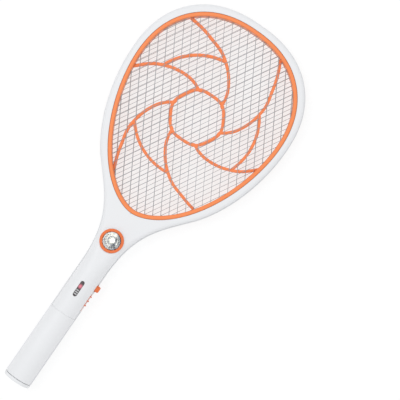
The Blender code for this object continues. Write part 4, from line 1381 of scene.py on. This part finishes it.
@dataclass
class Grip:
    """Pull-off battery grip.

    Attributes:
        radius: Outer radius.
        z: Height of its axis.
        top_y: Upper end of the sleeve.
        sleeve_y: Lower end of the sleeve.
        end_y: Lower end of the cap.
        ledge: How far the front half stays back at the sides, in line with the casing.
    """

    radius: float = 17.0
    z: float = 17.0
    top_y: float = -153.56
    sleeve_y: float = -245.4
    end_y: float = -250.0
    ledge: float = 1.3

    def axis(self) -> Sequence[float]:
        """A point on the grip's axis."""
        return 0.0, 0.0, self.z

    def sleeve(self) -> None:
        """Plain sleeve, its front half set back at both sides."""
        r = self.radius
        sleeve = turned([(r - 2, self.sleeve_y), *arc((r - 0.3, self.sleeve_y + 0.3), 0.3, -90, 0, 3),
                         *arc((r - 0.12, self.top_y - 0.12), 0.12, 0, 90, 3), (r - 2, self.top_y)],
                        self.axis(), 1, 128)
        for low_x, high_x in ((-r - 1, self.ledge - r), (r - self.ledge, r + 1)):
            combine(sleeve, "DIFFERENCE", block((low_x, self.sleeve_y - 1, self.z + 0.15),
                                                (high_x, self.top_y + 1, self.z + r)))
        present(sleeve, "grip_sleeve_tube", WHITE_ABS, Body.GRIP, "grip_sleeve")

    def end_cap(self) -> None:
        """Rounded end cap with the neck that plugs it into the sleeve."""
        r = self.radius
        cap = turned([(0, self.end_y), *arc((r - 1.4, self.end_y + 1.4), 1.4, -90, 0, 8),
                      *arc((r - 0.3, -246.5), 0.3, 0, 90, 3), (14.7, -246.2), (14.7, -243.3), (14.4, -243.0),
                      (0, -243.0)], self.axis(), 1, 128)
        present(cap, "end_cap_disc", WHITE_ABS, Body.GRIP, "end_cap")

    def head(self) -> None:
        """Plug head with its socket opening, and two sprung contact pins."""
        head = turned([(12.6, -167.0), (14.6, -167.0), *arc((14.1, -144.0), 0.5, 0, 90, 4), (0, -143.5),
                       (0, -145.5), (12.6, -145.5)], self.axis(), 1, 96)
        combine(head, "DIFFERENCE",
                block((-4.0, -147, 15.8), (4.0, -142, 19.0), corner_mm=1.4, corner_axis=1),
                *[rod(1.3, -147, -142, (x, 0, CONTACT_Z), 1) for x in CONTACT_X])
        present(head, "grip_head_cup", BLACK_NYLON, Body.GRIP, "grip_head")
        for i in (1, 2):
            low, high = node_box(f"contact_pin_{i}")
            pin = turned([(0, low.y), (1.0, low.y), (1.0, high.y - 1.6), (0.75, high.y - 1.5),
                          *arc((0.0, high.y - 0.75), 0.75, 0, 90, 5)],
                         ((low.x + high.x) / 2, 0, CONTACT_Z), 1, 32)
            present(pin, f"contact_pin_{i}_plunger", GOLD, Body.GRIP, f"contact_pin_{i}")

    def socket(self) -> None:
        """Charging socket: a drawn steel shell with its tongue."""
        low, high = node_box("usb_socket")
        shell = block(low, high, edge_mm=0.1, corner_mm=1.3, corner_axis=1)
        combine(shell, "DIFFERENCE", block((-3.3, low.y + 1, 16.45), (3.3, high.y + 2, 18.35), corner_mm=0.9,
                                           corner_axis=1))
        tongue = block((-2.2, low.y + 0.5, 17.2), (2.2, high.y - 1.0, 17.6), edge_mm=0.08)
        present(merge(shell, tongue), "usb_socket_shell", NICKEL_STEEL, Body.GRIP, "usb_socket")

    def contact_disc(self) -> None:
        """Block in the upper unit that the grip's pins reach into."""
        low, high = node_box("socket_block")
        disc = turned([(0, low.y), *arc((14.2, low.y + 0.3), 0.3, -90, 0, 2),
                       *arc((14.2, high.y - 0.3), 0.3, 0, 90, 2), (0, high.y)], self.axis(), 1, 96)
        combine(disc, "DIFFERENCE", *[rod(1.4, -150, -130, (x, 0, CONTACT_Z), 1) for x in CONTACT_X])
        present(disc, "socket_block_disc", BLACK_NYLON, Body.RACKET, "socket_block")

    def build(self) -> None:
        """Build the grip's outer pieces and its charging head."""
        self.sleeve()
        self.end_cap()
        self.head()
        self.socket()
        self.contact_disc()


@dataclass
class Inside:
    """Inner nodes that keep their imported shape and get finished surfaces.

    Attributes:
        finishes: Each finish with the nodes that wear it.
    """

    finishes: dict[Finish, tuple[str, ...]] = field(default_factory=lambda: {
        BOARD: ("lamp_board", "main_board", "hv_board", "charge_board"),
        RED_LED: ("indicator_led_1",), AMBER_LED: ("indicator_led_2",),
        FERRITE: ("transformer_core",), COPPER: ("transformer_coil",),
        FILM_TAN: ("hv_capacitor",), EPOXY_BLUE: ("bleed_resistor",),
        BLACK_NYLON: ("transistor", "hv_diode_1", "hv_diode_2", "zap_switch", "battery_cradle"),
        NICKEL_STEEL: ("mode_switch", "battery_spring", "battery_tab"),
        GOLD: ("socket_contact_1", "socket_contact_2"), CELL_SLEEVE: ("battery_cell",),
        RED_PVC: ("lead_centre", "lead_hv", "lead_cell_plus"),
        BLACK_PVC: ("lead_front", "lead_rear", "lead_lamp", "lead_cell_minus")})

    def build(self) -> None:
        """Dress every inner node."""
        for finish, names in self.finishes.items():
            for name in names:
                redress(name, finish)


# ---- Studio --------------------

@dataclass
class Studio:
    """Pale floor, soft light and a long lens looking straight down.

    Attributes:
        aim: Where the view is centred, in millimetres.
        roll_deg: Turn of the view about the vertical.
        frame_mm: Width of the view at the height of the casing.
        distance_mm: Height of the camera above that.
        zenith: Brightness of the surroundings overhead.
        horizon: Brightness of the surroundings at the horizon.
        floor_m: Side of the floor, in metres.
        floor_drop_mm: How far the floor lies under the object.
        key_out_m: Distance of the key light to the upper left, in metres.
        key_up_m: Height of the key light, in metres.
        key_power: Its power in watts.
        key_size: Its side in metres.
    """

    aim: tuple[float, float, float] = (57.1, 42.9, 27.0)
    roll_deg: float = 34.5
    frame_mm: float = 461.2
    distance_mm: float = 1700.0
    zenith: float = 1.10
    horizon: float = 0.58
    floor_m: float = 8.0
    floor_drop_mm: float = 0.4
    key_out_m: float = 1.1
    key_up_m: float = 2.2
    key_power: float = 7.0
    key_size: float = 1.2

    def floor(self) -> None:
        """Large matt table top just under the object."""
        deselect()
        bpy.ops.mesh.primitive_plane_add(size=self.floor_m, location=(0, 0, -self.floor_drop_mm * MM))
        floor = bpy.context.object
        floor.name = "table_top"
        floor.data.materials.append(TABLE.material())

    def lamp(self, name: str, place: Sequence[float], power: float, size: float) -> None:
        """Square soft light that faces the object."""
        deselect()
        bpy.ops.object.light_add(type="AREA", location=place)
        light = bpy.context.object
        light.name = name
        light.data.energy = power
        light.data.size = size
        toward = Vector((0.02, 0.03, 0.0)) - Vector(place)
        light.rotation_euler = toward.to_track_quat("-Z", "Y").to_euler()

    def build(self) -> None:
        """Set up floor, lights, surroundings and camera."""
        scene = bpy.context.scene
        self.floor()
        roll = math.radians(self.roll_deg)
        right = Vector((math.cos(roll), math.sin(roll), 0))
        up = Vector((-math.sin(roll), math.cos(roll), 0))
        key = (up - right).normalized() * self.key_out_m + Vector((0, 0, self.key_up_m))
        self.lamp("key_softbox", key, self.key_power, self.key_size)
        world = bpy.data.worlds.new("white_tent")
        world.use_nodes = True
        tree = world.node_tree
        back = tree.nodes["Background"]
        height = put(tree, "SeparateXYZ", {0: put(tree, "TexCoord").outputs["Generated"]})
        glow = put(tree, "MapRange", {"Value": height.outputs["Z"], "To Min": self.horizon,
                                      "To Max": self.zenith})
        feed(tree, back, {"Color": (0.99, 0.995, 1.0, 1.0), "Strength": glow.outputs["Result"]})
        scene.world = world
        lens = bpy.data.cameras.new("long_lens")
        lens.sensor_width = 36.0
        lens.lens = 36.0 * self.distance_mm / self.frame_mm
        lens.clip_end = 20.0
        camera = bpy.data.objects.new("top_camera", lens)
        scene.collection.objects.link(camera)
        aim = Vector(self.aim)
        camera.location = (aim.x * MM, aim.y * MM, (aim.z + self.distance_mm) * MM)
        camera.rotation_euler = (0.0, 0.0, roll)
        scene.camera = camera
        scene.view_settings.view_transform = "Standard"


def main() -> None:
    """Build the swatter and its studio."""
    logging.basicConfig(level=logging.INFO, format="%(name)s: %(message)s")
    for part in (Casing(), Guard(), RibFrame(), NetStack(), Lamp(), Controls(), Grip(), Inside(), Studio()):
        part.build()
        LOG.info("%s is built", type(part).__name__)
    deselect()


if __name__ == "__main__":
    main()
